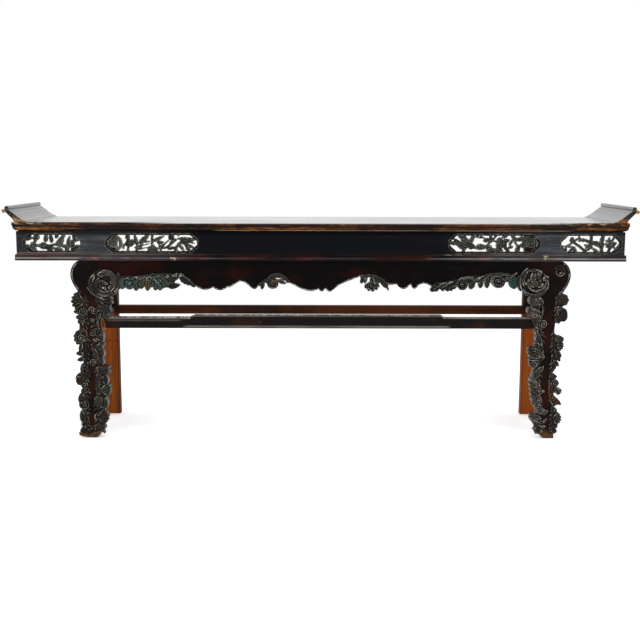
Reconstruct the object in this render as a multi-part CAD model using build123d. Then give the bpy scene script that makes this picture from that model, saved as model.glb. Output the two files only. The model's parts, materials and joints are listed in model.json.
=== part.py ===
"""Chinese altar table: framed top with upswept flanges, pierced frieze, carved apron and front legs.

Frame: +X along the table's length, -Y towards its decorated front, +Z up. The origin is on the
floor, under the middle of the top. Lengths are in millimetres.
"""
from build123d import *
from math import atan2, cos, degrees, hypot, radians, sin
import os

# ---------------------------------------------------------------- driving dimensions
LENGTH = 2600.0             # over the tips of the two flanges
DEPTH = 500.0               # front edge to back edge of the top
TOP_HEIGHT = 907.0          # floor to the top's working surface
FLANGE_RISE = 65.0          # working surface to the top of the rolled caps

# top frame and panel
TOP_THICK = 38.0
TOP_END_INSET = 38.0        # flange tip to the end of the top
FRAME_WIDTH = 80.0          # width of the frame's rails and ends
EDGE_BAND = 15.0            # upright band of the moulded edge
EDGE_ARRIS = 2.5            # softened upper corner
EDGE_QUIRK = 3.0            # step between band and ovolo
EDGE_UNDERCUT = 20.0        # how far the ovolo runs in under the edge
PANEL_THICK = 20.0
PANEL_TONGUE = 8.0          # thickness of the panel's tongue
PANEL_TONGUE_LENGTH = 12.0
MITRE_TENON = 12.0          # thickness of the tenon in each mitre
MITRE_TENON_INSET = 22.0    # tenon to the outer faces
BATTEN_WIDTH = 45.0
BATTEN_COUNT = 4
BATTEN_DOVETAIL = 7.0       # how far the dovetail rises into the panel
BATTEN_TENON = 15.0

# flanges and rolled caps
FLANGE_BASE_INSET = 10.0    # end of the top to the flange's outer foot
FLANGE_BASE = 57.0          # width of the flange's foot
FLANGE_THICK = 20.0         # thickness where the cap starts
FLANGE_JOINT_RISE = 33.0    # working surface to the cap joint on the inner face
FLANGE_JOINT_OUT = 55.0     # flange's inner foot to the cap joint
FLANGE_SETBACK = 2.0        # front of the top to the front of the flange
FLANGE_TONGUE = 8.0
CAP_ROLL_RADIUS = 9.0
CAP_LIP_RADIUS = 7.5
CAP_LIP_DROP = 20.5         # top of the roll to the middle of the lip
CAP_ROLL_INSET = 20.5       # tip of the lip to the middle of the roll
CAP_TONGUE = 5.0
CAP_TONGUE_LENGTH = 8.0

# frieze, moulding, apron
FRIEZE_SETBACK = 12.0       # front of the top to the frieze's face
FRIEZE_END_INSET = 52.0     # flange tip to the frieze's end
FRIEZE_HEIGHT = 95.0
FRIEZE_THICK = 24.0
FRIEZE_TONGUE = 8.0
FRIEZE_TONGUE_RISE = 8.0
MOULDING_TONGUE = 6.0       # depth of the frieze's lower tongue in the moulding
MOULDING_HEIGHT = 25.0
MOULDING_PROUD = 6.0        # moulding's face in front of the frieze's face
MOULDING_END = 7.0          # moulding past the frieze's end
MOULDING_BEAD = 14.0        # height of the rounded bead
APRON_THICK = 22.0
APRON_SETBACK = 10.0        # frieze's face to the apron's face
APRON_DEPTH = 128.0         # moulding to the apron's lowest cusp
APRON_TOP_TONGUE = 6.0
APRON_TONGUE = 8.0
APRON_TONGUE_LENGTH = 12.0

# pierced panels: (distance to the frieze's end, length)
CARTOUCHE_HEIGHT = 73.0
CARTOUCHE_CORNER_X = 28.0
CARTOUCHE_CORNER_Z = 26.0
CARTOUCHE_RIM_ABOVE = 12.0  # frieze's top edge to the openings
OUTER_LEFT = (30.0, 233.0)
INNER_LEFT = (367.0, 376.0)
OUTER_RIGHT = (16.0, 246.0)
INNER_RIGHT = (349.0, 371.0)
CARTOUCHE_BEAD = 4.0        # width of the bead round each opening
CARTOUCHE_BEAD_PROUD = 1.5
OPENWORK_REBATE = 6.0       # width of the ledge that holds each panel
OPENWORK_REBATE_DEPTH = 14.0
OPENWORK_FACE_SINK = 3.0    # frieze's face to the front of the foliage
OPENWORK_BACK_SINK = 2.0    # frieze's back to the back of the panel
OPENWORK_RIM = 4.0          # width of the panel's rim inside the opening

# front legs
LEG_END_INSET = 388.0       # flange tip to the inner edge of a front leg
LEG_SHOULDER_WIDTH = 73.0   # just below the shoulder's bulge
LEG_WAIST_WIDTH = 57.0
LEG_ANKLE_WIDTH = 72.0
LEG_THICK = 46.0
EAR_HEIGHT = 157.0          # moulding to the cusp under the bulge
EAR_BULGE = 48.0            # bulge past the width below it
EAR_TOP_RUN = 10.0
FOOT_HEIGHT = 58.0
FOOT_TAPER = 28.0
LEG_TENON = 17.0
LEG_TENON_INSET = 12.0
LEG_TENON_RISE = 25.0

# back legs, rails and stretchers
BACK_LEG_END_INSET = 375.0  # flange tip to the inner edge of a back leg
BACK_LEG_WIDTH = 95.0
BACK_LEG_THICK = 40.0
BACK_LEG_INSET = 5.0        # back of the top to the back of the leg
STRETCHER_Z = 466.0         # floor to the underside of all stretchers
STRETCHER_HEIGHT = 46.0
STRETCHER_THICK = 34.0
STRETCHER_SETBACK = 6.0     # leg's face to the stretcher's face
STRETCHER_RAISE = 9.0       # extra height of the middle part
RAISE_START_LEFT = 387.0    # left leg to the raised part
RAISE_START_RIGHT = 410.0
STRETCHER_RAMP = 50.0       # length of the slanted ends of the raised part
STRETCHER_BEAD = 5.0
STRETCHER_BEAD_PROUD = 2.0
BACK_STRETCHER_HEIGHT = 38.0
BACK_STRETCHER_THICK = 30.0
BACK_RAIL_HEIGHT = 35.0
BACK_RAIL_THICK = 26.0
SIDE_RAIL_HEIGHT = 60.0
SIDE_THICK = 26.0
SIDE_STRETCHER_HEIGHT = 38.0
SIDE_OFFSET = 36.0          # leg's inner edge to the middle of the side members
TENON_LENGTH = 36.0
SIDE_TENON_LENGTH = 22.0
TENON_SHOULDER = 6.0

# applied carving and its fixings
CARVING_PROUD = 12.0        # how far the carving stands off the faces
CARVING_DEPTH = 30.0        # how far it runs back beside an edge
VINE_FLOOR_GAP = 4.0
ROUNDEL_RADIUS = 57.0
ROUNDEL_THICK = 20.0
ROUNDEL_DROP = 66.0         # moulding to the middle of the roundel
ROUNDEL_INSET = 7.0         # leg's inner edge to the middle of the roundel
PEG_RADIUS = 4.0
DOWEL_RADIUS = 5.0
DOWEL_INSET = 24.0
PIN_RADIUS = 2.0
PIN_LENGTH = 22.0
VINE_PIN_HEIGHTS = (78.0, 56.0, 12.5)
VINE_FACE_PIN_HEIGHTS = (72.0, 54.0, 22.0)
VINE_PIN_INSET = 8.0

FIT = 0.25                  # clearance of tongues, tenons and pegs

# ---------------------------------------------------------------- derived sizes
HALF_LENGTH = LENGTH / 2
HALF_DEPTH = DEPTH / 2
TOP_HALF = HALF_LENGTH - TOP_END_INSET
TOP_UNDER = TOP_HEIGHT - TOP_THICK
OPEN_HALF_X = TOP_HALF - FRAME_WIDTH
OPEN_HALF_Y = HALF_DEPTH - FRAME_WIDTH
PANEL_UNDER = TOP_HEIGHT - PANEL_THICK
FRIEZE_FACE = -HALF_DEPTH + FRIEZE_SETBACK
FRIEZE_BACK = FRIEZE_FACE + FRIEZE_THICK
FRIEZE_HALF = HALF_LENGTH - FRIEZE_END_INSET
FRIEZE_UNDER = TOP_UNDER - FRIEZE_HEIGHT
MOULDING_UNDER = FRIEZE_UNDER - MOULDING_HEIGHT
LEG_FACE = FRIEZE_FACE + APRON_SETBACK
LEG_BACK = LEG_FACE + LEG_THICK
LEG_INNER = HALF_LENGTH - LEG_END_INSET
LEG_OUTER = LEG_INNER + LEG_SHOULDER_WIDTH
BACK_LEG_INNER = HALF_LENGTH - BACK_LEG_END_INSET
BACK_LEG_OUTER = BACK_LEG_INNER + BACK_LEG_WIDTH
BACK_LEG_BACK = HALF_DEPTH - BACK_LEG_INSET
BACK_LEG_FACE = BACK_LEG_BACK - BACK_LEG_THICK
BACK_LEG_MIDDLE = BACK_LEG_BACK - BACK_LEG_THICK / 2
CARVING_FACE = LEG_FACE - CARVING_PROUD
SIDE_X = LEG_INNER + SIDE_OFFSET
CARTOUCHE_TOP = TOP_UNDER - CARTOUCHE_RIM_ABOVE
CARTOUCHE_Z = CARTOUCHE_TOP - CARTOUCHE_HEIGHT / 2
STRETCHER_FACE = LEG_FACE + STRETCHER_SETBACK
STRETCHER_MIDDLE = STRETCHER_FACE + STRETCHER_THICK / 2
BATTEN_PITCH = 2 * OPEN_HALF_X / (BATTEN_COUNT + 1)
BATTEN_PLACES = [(number + 1) * BATTEN_PITCH - OPEN_HALF_X for number in range(BATTEN_COUNT)]
OPENWORK_UNIT = CARTOUCHE_HEIGHT / 73   # the layouts' widths are for openings 73 high,
APRON_UNIT = APRON_DEPTH / 128          # an apron 128 deep
VINE_UNIT = MOULDING_UNDER / 749        # and legs 749 high

# ---------------------------------------------------------------- carving layouts
# A leaf runs from its base to its tip and has a width. A stem is a list of points and a width.
# A disc has a middle and a radius. Points are in percent of what carries the carving.

# pierced panels: percent of half the opening's length and height, from its middle
OUTER_LEFT_STEMS = [
    ([(-62, 104), (-61, 28), (-68, -10), (-57, -29), (-39, -43), (-12, -34), (6, -20), (27, -34),
      (48, -48), (60, -43), (69, -34), (74, 52), (71, 104)], 7),
]
OUTER_LEFT_LEAVES = [
    (-61, 36, -44, 61, 16), (-61, 36, -101, 52, 12), (-68, -53, -95, -34, 11), (-62, -5, -65, -62, 12),
    (-69, -50, -56, -79, 9), (-20, -38, -27, 100, 14), (1, -29, -11, 100, 12), (13, 40, 13, 104, 11),
    (6, -29, 42, 95, 12), (24, -29, 39, 52, 10), (-20, -43, -44, -15, 20), (3, -36, -18, -80, 16),
    (7, -40, 33, -86, 12), (27, -34, 34, -81, 10), (46, -43, 49, -95, 13), (63, -48, 54, 23, 14),
    (71, 9, 93, 38, 9), (63, -104, 92, -34, 15), (-98, 57, -79, 104, 8), (7, -20, 18, 50, 9),
]
INNER_LEFT_STEMS = [
    ([(-66, -21), (-48, -14), (-30, -38), (-18, 7), (-1, 14), (13, 7), (17, -49), (31, -52),
      (42, -3), (52, 31), (68, 28), (77, -21), (87, -42)], 7),
    ([(-1, 104), (0, -63)], 7),
    ([(17, -49), (18, -104)], 6),
    ([(-52, -14), (-52, -104)], 6),
]
INNER_LEFT_LEAVES = [
    (-54, 0, -54, 104, 12), (-41, -21, -57, 14, 14), (-47, -28, -36, 14, 12), (-30, -42, -37, 84, 9),
    (-25, -12, -9, 77, 13), (-19, 7, -27, -56, 8), (-30, -42, -19, -63, 7), (-32, -42, -36, -95, 8),
    (-1, 14, -15, 7, 6), (0, -14, -8, -100, 10), (0, -14, 10, -95, 14), (0, -21, 0, -100, 12),
    (1, 18, 35, 56, 9), (7, 30, 1, 88, 7), (14, 14, 30, -24, 6), (42, 0, 42, 104, 14),
    (52, 31, 60, 95, 7), (54, 35, 89, 56, 8), (66, 28, 93, 14, 12), (68, 21, 78, -70, 9),
    (31, -54, 54, -56, 8), (51, -60, 58, -10, 8), (57, -14, 71, -77, 8), (53, -54, 53, -100, 8),
    (77, -21, 94, -42, 8), (75, -42, 86, -77, 8), (84, 42, 99, -14, 7),
]
INNER_RIGHT_STEMS = [
    ([(-68, -90), (-56, -9), (-48, 84)], 8),
    ([(-56, -23), (-39, -45), (-23, -30), (-12, -9), (2, 6), (12, 20), (25, 27), (36, -16),
      (46, -1), (63, 20), (79, 6)], 7),
    ([(-20, -48), (-4, 35), (6, 104)], 6),
]
INNER_RIGHT_LEAVES = [
    (-63, -23, -99, 9, 9), (-63, -16, -88, 42, 9), (-57, -9, -80, 100, 15), (-60, -23, -83, -37, 8),
    (-54, -16, -44, 70, 10), (-54, -16, -50, 96, 7), (-57, -23, -68, -95, 9), (-60, -30, -43, -37, 14),
    (-37, -36, -19, -23, 12), (-5, 40, -24, 49, 9), (-2, 42, -11, 95, 7), (-12, -9, -9, -95, 16),
    (9, 16, 8, 96, 9), (11, 13, 30, 80, 9), (12, 13, 31, 35, 12), (12, 6, 26, -34, 12),
    (9, 12, 6, -95, 14), (8, -73, 22, -92, 10), (9, 6, -3, -48, 9), (22, 18, 29, -55, 10),
    (27, -30, 37, -95, 8), (46, -1, 41, 90, 8), (45, 35, 57, 56, 10), (46, 27, 32, 63, 8),
    (47, 4, 64, 6, 8), (46, -1, 55, -45, 7), (52, -24, 49, -100, 9), (63, 14, 57, 71, 9),
    (64, 13, 72, 90, 12), (64, 10, 72, -40, 12), (86, 52, 96, -16, 12), (72, 20, 79, 92, 9),
]
OUTER_RIGHT_STEMS = [
    ([(-104, -21), (-82, -36), (-55, 18), (-34, -31), (-11, -104)], 8),
    ([(-98, -21), (-101, -51), (-78, -104)], 6),
    ([(-82, -36), (-78, -100)], 7),
    ([(3, 104), (4, -7), (0, -41), (19, -75), (34, -104)], 8),
    ([(4, 3), (24, 8), (37, -7), (50, -7), (68, 8), (77, 57), (83, 104)], 7),
    ([(37, 8), (41, -104)], 9),
    ([(68, 8), (61, -104)], 7),
    ([(-69, -104), (-55, -56), (-46, -104)], 7),
    ([(-31, -36), (-28, -104)], 6),
]
OUTER_RIGHT_LEAVES = [
    (-58, 8, -61, 64, 13), (-55, 14, -43, 52, 8), (-50, -4, -72, -30, 9), (-58, -52, -46, -78, 12),
    (-37, 30, -37, 80, 9), (5, 10, -44, 38, 11), (4, -2, 25, 13, 12), (6, -5, -11, -60, 16),
    (-2, -31, -19, -15, 9), (-31, -34, -41, -8, 9), (37, 0, 42, 80, 13), (34, -55, 37, 20, 16),
    (48, -5, 46, -45, 8), (68, 8, 51, 32, 9), (68, 8, 60, 64, 11), (68, 10, 84, 18, 10),
    (68, 2, 96, -2, 8), (66, -22, 83, -41, 9), (64, -41, 72, 2, 11), (82, 98, 101, 54, 9),
    (99, -4, 84, -95, 9),
]
CRESCENT = (-82, -10)
CRESCENT_RADIUS = 33.0
CRESCENT_HEART = 18.0
BOSS = (82, 2, 20.0)

# apron: percent of half its length from the middle, percent of its depth below the moulding
APRON_EDGE = [
    [(-100, 60), (-85, 64), (-71, 61), (-66.5, 48), (-63, 46), (-60.5, 60), (-56.7, 83)],
    [(-56.7, 83), (-51.2, 94), (-48.9, 87)],
    [(-48.9, 87), (-45.5, 96), (-42.4, 87)],
    [(-42.4, 87), (-39.5, 80), (-36.2, 67), (-33, 78), (-30.2, 92), (-28, 81)],
    [(-28, 81), (-25.5, 66), (-21, 56), (-15.6, 67)],
    [(-15.6, 67), (-9.3, 89), (-3.4, 98), (-1, 91)],
    [(-1, 91), (0.4, 99), (2.2, 91)],
    [(2.2, 91), (3.8, 100), (7.6, 83), (12.8, 65), (18, 50)],
    [(18, 50), (22, 50), (26, 58), (31.3, 79)],
    [(31.3, 79), (34.4, 75)],
    [(34.4, 75), (37.6, 91), (40.7, 76)],
    [(40.7, 76), (42.7, 90), (44.1, 81)],
    [(44.1, 81), (46.4, 73), (50.2, 84)],
    [(50.2, 84), (56.6, 78), (62, 68), (67, 62), (75.2, 58), (85.5, 56), (100, 58)],
]
FOLIAGE_LEFT_STEMS = [([(-93.5, 54), (-87.7, 60), (-80, 56), (-76.8, 53), (-68, 47)], 27)]
FOLIAGE_LEFT_LEAVES = [
    (-94, 58, -90, 98, 38), (-92, 52, -86.8, 96, 44), (-87.7, 55, -83.7, 100, 30),
    (-85, 54, -81.4, 94, 33), (-81.7, 54, -78.6, 101, 26), (-80.6, 50, -74.6, 98, 48),
    (-75.7, 46, -71.3, 93, 38), (-72.4, 46, -67.4, 92, 38), (-70.2, 46, -64.7, 93, 26),
    (-70.2, 42, -63.6, 60, 16), (-67.5, 44, -58.3, 88, 16), (-62.5, 58, -59.2, 82, 24),
]
FOLIAGE_RIGHT_STEMS = [([(93, 46), (86.6, 46), (75.7, 51), (65.8, 60), (58.1, 76), (51.5, 85)], 22)]
FOLIAGE_RIGHT_LEAVES = [
    (59.2, 73, 50.2, 95, 20), (61.4, 70, 55.4, 101, 26), (63.6, 66, 59.2, 99, 32),
    (66.9, 58, 61.7, 95, 22), (68, 54, 64.5, 97, 28), (72.4, 50, 68.5, 91, 22), (75.7, 46, 72.8, 86, 22),
    (77.9, 46, 75.8, 88, 16), (80, 46, 80.9, 91, 54), (86.6, 42, 88.3, 91, 48), (91, 46, 90.8, 97, 40),
]
FLOWER_LEFT_LEAVES = [(-25, 64, -16.2, 72, 58), (-24.7, 62, -26.5, 95, 16), (-20, 46, -15.8, 72, 22)]
FLOWER_LEFT_DISC = (-21.9, 76, 22)
FLOWER_RIGHT_LEAVES = [(20.8, 50, 17.8, 72, 18), (23.6, 50, 31.3, 98, 40), (19.7, 48, 26.3, 54, 26)]
FLOWER_RIGHT_DISC = (23.4, 82, 25)

# vines: outwards from the leg's outer or inner edge, percent of the leg's height
VINE_OUTER_LEFT_STEM = ([(-4, 79), (1, 66), (2, 50), (3, 38), (-2, 27), (0, 12), (0, 3)], 22)
VINE_OUTER_RIGHT_STEM = ([(-6, 79), (-8, 62), (-14, 45), (-14, 30), (-6, 12), (0, 3)], 16)
VINE_INNER_STEM = ([(-10, 78), (-12, 66), (-16, 50), (-10, 36), (-8, 22), (-15, 6)], 32)
VINE_OUTER_LEFT_DISCS = [
    (21, 77.4, 22), (4, 71.7, 19), (26, 72.3, 12), (16, 69.5, 12), (4, 66, 12), (15, 57.4, 20),
    (18, 53.2, 18), (8, 49.5, 12), (14, 34, 21), (18, 31, 17), (0, 27, 14), (4, 20, 20), (4, 15, 17),
    (7, 11, 15), (8, 3.6, 15),
]
VINE_OUTER_LEFT_LEAVES = [(-6, 47.4, 29, 47.1, 12), (-6, 44.6, 25, 44, 12), (0, 41, 13, 38.5, 12)]
VINE_OUTER_RIGHT_DISCS = [
    (25, 78.2, 18), (10, 54.9, 22), (-9, 32, 14), (1, 27.4, 15), (-3, 12.3, 24), (-11, 5, 17),
]
VINE_OUTER_RIGHT_LEAVES = [
    (0, 75, 28, 66, 30), (-6, 71, 13, 65.5, 22), (-8, 76, 16, 79, 16), (-12, 51.5, 16, 44.5, 12),
    (-12, 47, 9, 41, 10), (-16, 38.7, 2, 36, 8), (-10, 23, 16, 18.6, 16),
]
VINE_INNER_LEFT_DISCS = [
    (9, 74.5, 24), (-20, 64, 18), (-22, 59, 20), (-18, 53, 20), (-20, 48.5, 20), (-24, 43.4, 14),
    (-5, 35, 12), (-4, 21.4, 26), (-8, 15.5, 25), (-15, 9.5, 21), (-14, 5.2, 16),
]
VINE_INNER_LEFT_LEAVES = [
    (-10, 75.5, 33, 76.2, 26), (-10, 72, 38, 72.5, 30), (-23, 39.6, 36, 38.8, 30),
    (-18, 26, 37, 31, 34), (-10, 27, 34, 27, 26),
]
VINE_INNER_RIGHT_DISCS = [(-9, 65.3, 15), (-8, 58.5, 18), (12, 47, 30), (-4, 28, 12)]
VINE_INNER_RIGHT_LEAVES = [
    (-6, 76, 34, 77, 26), (-8, 71, 42, 72, 30), (-6, 52, 30, 42, 46), (-2, 40, 32, 35, 30),
    (-4, 33, 38, 31, 22), (-4, 30, 38, 27.5, 22), (-6, 26.5, 34, 23.5, 22), (-6, 22.5, 28, 20, 20),
    (-12, 16, 24, 13.2, 30), (-8, 11.6, 25, 11, 34), (-14, 4.6, 9, 3.6, 18),
]


# ---------------------------------------------------------------- helpers
def box(low, high):
    """Axis-aligned box between two corners."""
    size = [b - a for a, b in zip(low, high)]
    return Pos(*low) * Box(*size, align=(Align.MIN, Align.MIN, Align.MIN))


def grown(low, high, gap=FIT):
    """The same box, larger by a clearance on every side."""
    return box([v - gap for v in low], [v + gap for v in high])


def front_slab(outline, front, back):
    """Extrude an outline drawn in X and Z through the depth between two Y planes."""
    plane = Plane(origin=(0, back, 0), x_dir=(1, 0, 0), z_dir=(0, -1, 0))
    return extrude(plane * outline, back - front)


def long_bar(profile, x_from, x_to):
    """Extrude a profile drawn in Y and Z along the length."""
    plane = Plane(origin=(x_from, 0, 0), x_dir=(0, 1, 0), z_dir=(1, 0, 0))
    return extrude(plane * profile, x_to - x_from)


def closed(points):
    """Face inside a closed polygon."""
    return make_face(Polyline(*points, close=True))


def y_peg(x, z, y_from, y_to, radius):
    """Round peg along Y."""
    return Pos(x, (y_from + y_to) / 2, z) * Rot(90, 0, 0) * Cylinder(radius, abs(y_to - y_from))


def x_peg(x_from, x_to, y, z, radius):
    """Round peg along X."""
    return Pos((x_from + x_to) / 2, y, z) * Rot(0, 90, 0) * Cylinder(radius, abs(x_to - x_from))


def mirrored(part):
    """The same piece on the other side of the table."""
    return mirror(part, Plane.YZ)


def leaf(base, tip, width):
    """Pointed leaf between two points."""
    run, rise = tip[0] - base[0], tip[1] - base[1]
    half = width / 2 / hypot(run, rise)
    middle = ((base[0] + tip[0]) / 2, (base[1] + tip[1]) / 2)
    left = (middle[0] - rise * half, middle[1] + run * half)
    right = (middle[0] + rise * half, middle[1] - run * half)
    return make_face(ThreePointArc(base, left, tip) + ThreePointArc(tip, right, base))


def stem(points, width):
    """Round-ended strips from point to point."""
    strips = []
    for (x1, z1), (x2, z2) in zip(points, points[1:]):
        turn = degrees(atan2(z2 - z1, x2 - x1))
        strip = SlotCenterToCenter(hypot(x2 - x1, z2 - z1), width)
        strips.append(Pos((x1 + x2) / 2, (z1 + z2) / 2) * Rot(0, 0, turn) * strip)
    return strips


def carving(stems, leaves, discs, place, unit):
    """One outline of stems, leaves and discs, with their points put in place and widths in units."""
    shapes = []
    for points, width in stems:
        shapes += stem([place(*p) for p in points], width * unit)
    for x1, z1, x2, z2, width in leaves:
        shapes.append(leaf(place(x1, z1), place(x2, z2), width * unit))
    for x, z, radius in discs:
        shapes.append(Pos(*place(x, z)) * Circle(radius * unit))
    outline = shapes[0]
    return outline + shapes[1:]


def applied(outline, host, keep_depth=CARVING_DEPTH):
    """Carving on a host's front face, which also runs back beside the host's edge."""
    face_layer = front_slab(outline, CARVING_FACE, LEG_FACE)
    beside = outline - host
    return face_layer + front_slab(beside, LEG_FACE, LEG_FACE + keep_depth)


# ---------------------------------------------------------------- top
def edge_profile():
    """Half section of a frame member: distance from its outer edge, and height."""
    band_low = TOP_HEIGHT - EDGE_BAND
    ovolo_high = band_low - EDGE_QUIRK / 2
    fillet_high = TOP_UNDER + EDGE_QUIRK
    corner = (EDGE_ARRIS * 0.3, TOP_HEIGHT - EDGE_ARRIS * 0.3)
    bulge = (EDGE_QUIRK + (EDGE_UNDERCUT - EDGE_QUIRK) * 0.22, ovolo_high - (ovolo_high - fillet_high) * 0.72)
    outline = Polyline((FRAME_WIDTH, TOP_UNDER), (FRAME_WIDTH, TOP_HEIGHT), (EDGE_ARRIS, TOP_HEIGHT))
    outline += ThreePointArc((EDGE_ARRIS, TOP_HEIGHT), corner, (0, TOP_HEIGHT - EDGE_ARRIS))
    outline += Polyline((0, TOP_HEIGHT - EDGE_ARRIS), (0, band_low), (EDGE_QUIRK, ovolo_high))
    outline += ThreePointArc((EDGE_QUIRK, ovolo_high), bulge, (EDGE_UNDERCUT, fillet_high))
    outline += Polyline((EDGE_UNDERCUT, fillet_high), (EDGE_UNDERCUT, TOP_UNDER), (FRAME_WIDTH, TOP_UNDER))
    return make_face(outline)


def mitre_tenon(side, end, gap=0.0):
    """Tenon of an end member in a long rail; side is left or right, end is front or back."""
    middle = TOP_UNDER + TOP_THICK * 0.35
    inner = (OPEN_HALF_X + PANEL_TONGUE_LENGTH + 4) * side
    outer = (TOP_HALF - MITRE_TENON_INSET - 2) * side
    root = OPEN_HALF_Y * 0.9 * end
    tip = (HALF_DEPTH - MITRE_TENON_INSET) * end
    low = (min(inner, outer), min(root, tip), middle - MITRE_TENON / 2)
    high = (max(inner, outer), max(root, tip), middle + MITRE_TENON / 2)
    return grown(low, high, gap)


def panel_tongue(gap=0.0):
    """Tongue all round the floating panel."""
    reach_x = OPEN_HALF_X + PANEL_TONGUE_LENGTH
    reach_y = OPEN_HALF_Y + PANEL_TONGUE_LENGTH
    low = PANEL_UNDER + 2
    return grown((-reach_x, -reach_y, low), (reach_x, reach_y, low + PANEL_TONGUE), gap)


def frieze_tongue(gap=0.0):
    """Tongue of the frieze in the front rail's underside."""
    middle = (FRIEZE_FACE + FRIEZE_BACK) / 2
    half = OPEN_HALF_X - 12
    low = (-half, middle - FRIEZE_TONGUE / 2, TOP_UNDER - 1)
    high = (half, middle + FRIEZE_TONGUE / 2, TOP_UNDER + FRIEZE_TONGUE_RISE)
    return grown(low, high, gap)


def batten_body(x, gap=0.0):
    """Cross batten with a dovetail above and a stub tenon at each end."""
    half = BATTEN_WIDTH / 2
    low, high = TOP_UNDER, PANEL_UNDER
    body = box((x - half, -OPEN_HALF_Y + gap, low), (x + half, OPEN_HALF_Y - gap, high))
    tenon_reach = OPEN_HALF_Y + BATTEN_TENON
    tenon = grown((x - half + 5, -tenon_reach, low + 4), (x + half - 5, tenon_reach, high - 4), gap)
    neck, flare = half * 0.45 + gap, half * 0.65 + gap
    rise = high + BATTEN_DOVETAIL + gap
    tail = closed([(x - neck, high - 1), (x + neck, high - 1), (x + flare, rise), (x - flare, rise)])
    return body + tenon + front_slab(tail, -OPEN_HALF_Y + 10, OPEN_HALF_Y - 10)


def leg_tenons(gap=0.0):
    """Tenons of all four legs in the long rails of the top."""
    rise = TOP_UNDER + LEG_TENON_RISE
    tenons = []
    for side in (-1, 1):
        spans = [(LEG_INNER, LEG_INNER + LEG_WAIST_WIDTH, (FRIEZE_BACK + LEG_BACK) / 2),
                 (BACK_LEG_INNER, BACK_LEG_OUTER, BACK_LEG_MIDDLE)]
        for inner, outer, middle in spans:
            a, b = side * (inner + LEG_TENON_INSET), side * (outer - LEG_TENON_INSET)
            low = (min(a, b), middle - LEG_TENON / 2, TOP_UNDER - 1)
            high = (max(a, b), middle + LEG_TENON / 2, rise)
            tenons.append(grown(low, high, gap))
    return tenons


def flange_tongue(side, gap=0.0):
    """Tongue under a flange, in a groove of the end member."""
    middle = side * (TOP_HALF - FLANGE_BASE_INSET - FLANGE_BASE / 2)
    reach = HALF_DEPTH - (TOP_HALF - abs(middle)) - FLANGE_TONGUE
    low = (middle - FLANGE_TONGUE / 2, -reach, TOP_HEIGHT - PANEL_TONGUE)
    high = (middle + FLANGE_TONGUE / 2, reach, TOP_HEIGHT + 1)
    return grown(low, high, gap)


def long_rail(end):
    """Front (-1) or back (+1) rail of the top's frame, mitred at both ends."""
    bar = long_bar(edge_profile(), -TOP_HALF, TOP_HALF)
    bar = Pos(0, -HALF_DEPTH, 0) * bar
    trapezoid = closed([(-TOP_HALF, -HALF_DEPTH), (TOP_HALF, -HALF_DEPTH),
                        (OPEN_HALF_X, -OPEN_HALF_Y), (-OPEN_HALF_X, -OPEN_HALF_Y)])
    bar = bar & extrude(Pos(0, 0, TOP_UNDER - 1) * trapezoid, TOP_THICK + 2)
    if end > 0:
        bar = mirror(bar, Plane.XZ)
    cuts = [panel_tongue(FIT), mitre_tenon(-1, end, FIT), mitre_tenon(1, end, FIT)]
    cuts += [batten_body(x, FIT) for x in BATTEN_PLACES] + leg_tenons(FIT)
    if end < 0:
        cuts.append(frieze_tongue(FIT))
    return bar - cuts


def end_member(side):
    """Left (-1) or right (+1) end of the top's frame, with tenons in both rails."""
    plane = Plane(origin=(0, HALF_DEPTH, 0), x_dir=(1, 0, 0), z_dir=(0, -1, 0))
    bar = Pos(-TOP_HALF, 0, 0) * extrude(plane * edge_profile(), DEPTH)
    trapezoid = closed([(-TOP_HALF, -HALF_DEPTH), (-OPEN_HALF_X, -OPEN_HALF_Y),
                        (-OPEN_HALF_X, OPEN_HALF_Y), (-TOP_HALF, HALF_DEPTH)])
    bar = bar & extrude(Pos(0, 0, TOP_UNDER - 1) * trapezoid, TOP_THICK + 2)
    if side > 0:
        bar = mirrored(bar)
    bar = bar + [mitre_tenon(side, -1), mitre_tenon(side, 1)]
    return bar - [panel_tongue(FIT), flange_tongue(side, FIT)] - flange_dowels(side, FIT)


def top_panel():
    """Floating panel, grooved for the battens."""
    field = grown((-OPEN_HALF_X, -OPEN_HALF_Y, PANEL_UNDER), (OPEN_HALF_X, OPEN_HALF_Y, TOP_HEIGHT), 0)
    field = field & box((-OPEN_HALF_X + FIT, -OPEN_HALF_Y + FIT, PANEL_UNDER - 1),
                        (OPEN_HALF_X - FIT, OPEN_HALF_Y - FIT, TOP_HEIGHT + 1))
    return field + panel_tongue() - [batten_body(x, FIT) for x in BATTEN_PLACES]


# ---------------------------------------------------------------- flanges
FLANGE_OUTER_FOOT = TOP_HALF - FLANGE_BASE_INSET
FLANGE_INNER_FOOT = FLANGE_OUTER_FOOT - FLANGE_BASE
JOINT_IN = (FLANGE_INNER_FOOT + FLANGE_JOINT_OUT, TOP_HEIGHT + FLANGE_JOINT_RISE)
JOINT_SLOPE = radians(45)
JOINT_OUT = (JOINT_IN[0] + FLANGE_THICK * sin(JOINT_SLOPE), JOINT_IN[1] - FLANGE_THICK * cos(JOINT_SLOPE))
ROLL_MIDDLE = (HALF_LENGTH - CAP_ROLL_INSET, TOP_HEIGHT + FLANGE_RISE - CAP_ROLL_RADIUS)
LIP_MIDDLE = (HALF_LENGTH - CAP_LIP_RADIUS, TOP_HEIGHT + FLANGE_RISE - CAP_LIP_DROP)


def cap_tongue(gap=0.0):
    """Outline of the tongue that joins a rolled cap to its flange."""
    middle = ((JOINT_IN[0] + JOINT_OUT[0]) / 2, (JOINT_IN[1] + JOINT_OUT[1]) / 2)
    strip = Rectangle(2 * CAP_TONGUE_LENGTH + 2 * gap, CAP_TONGUE + 2 * gap)
    return Pos(*middle) * Rot(0, 0, degrees(JOINT_SLOPE)) * strip


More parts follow.
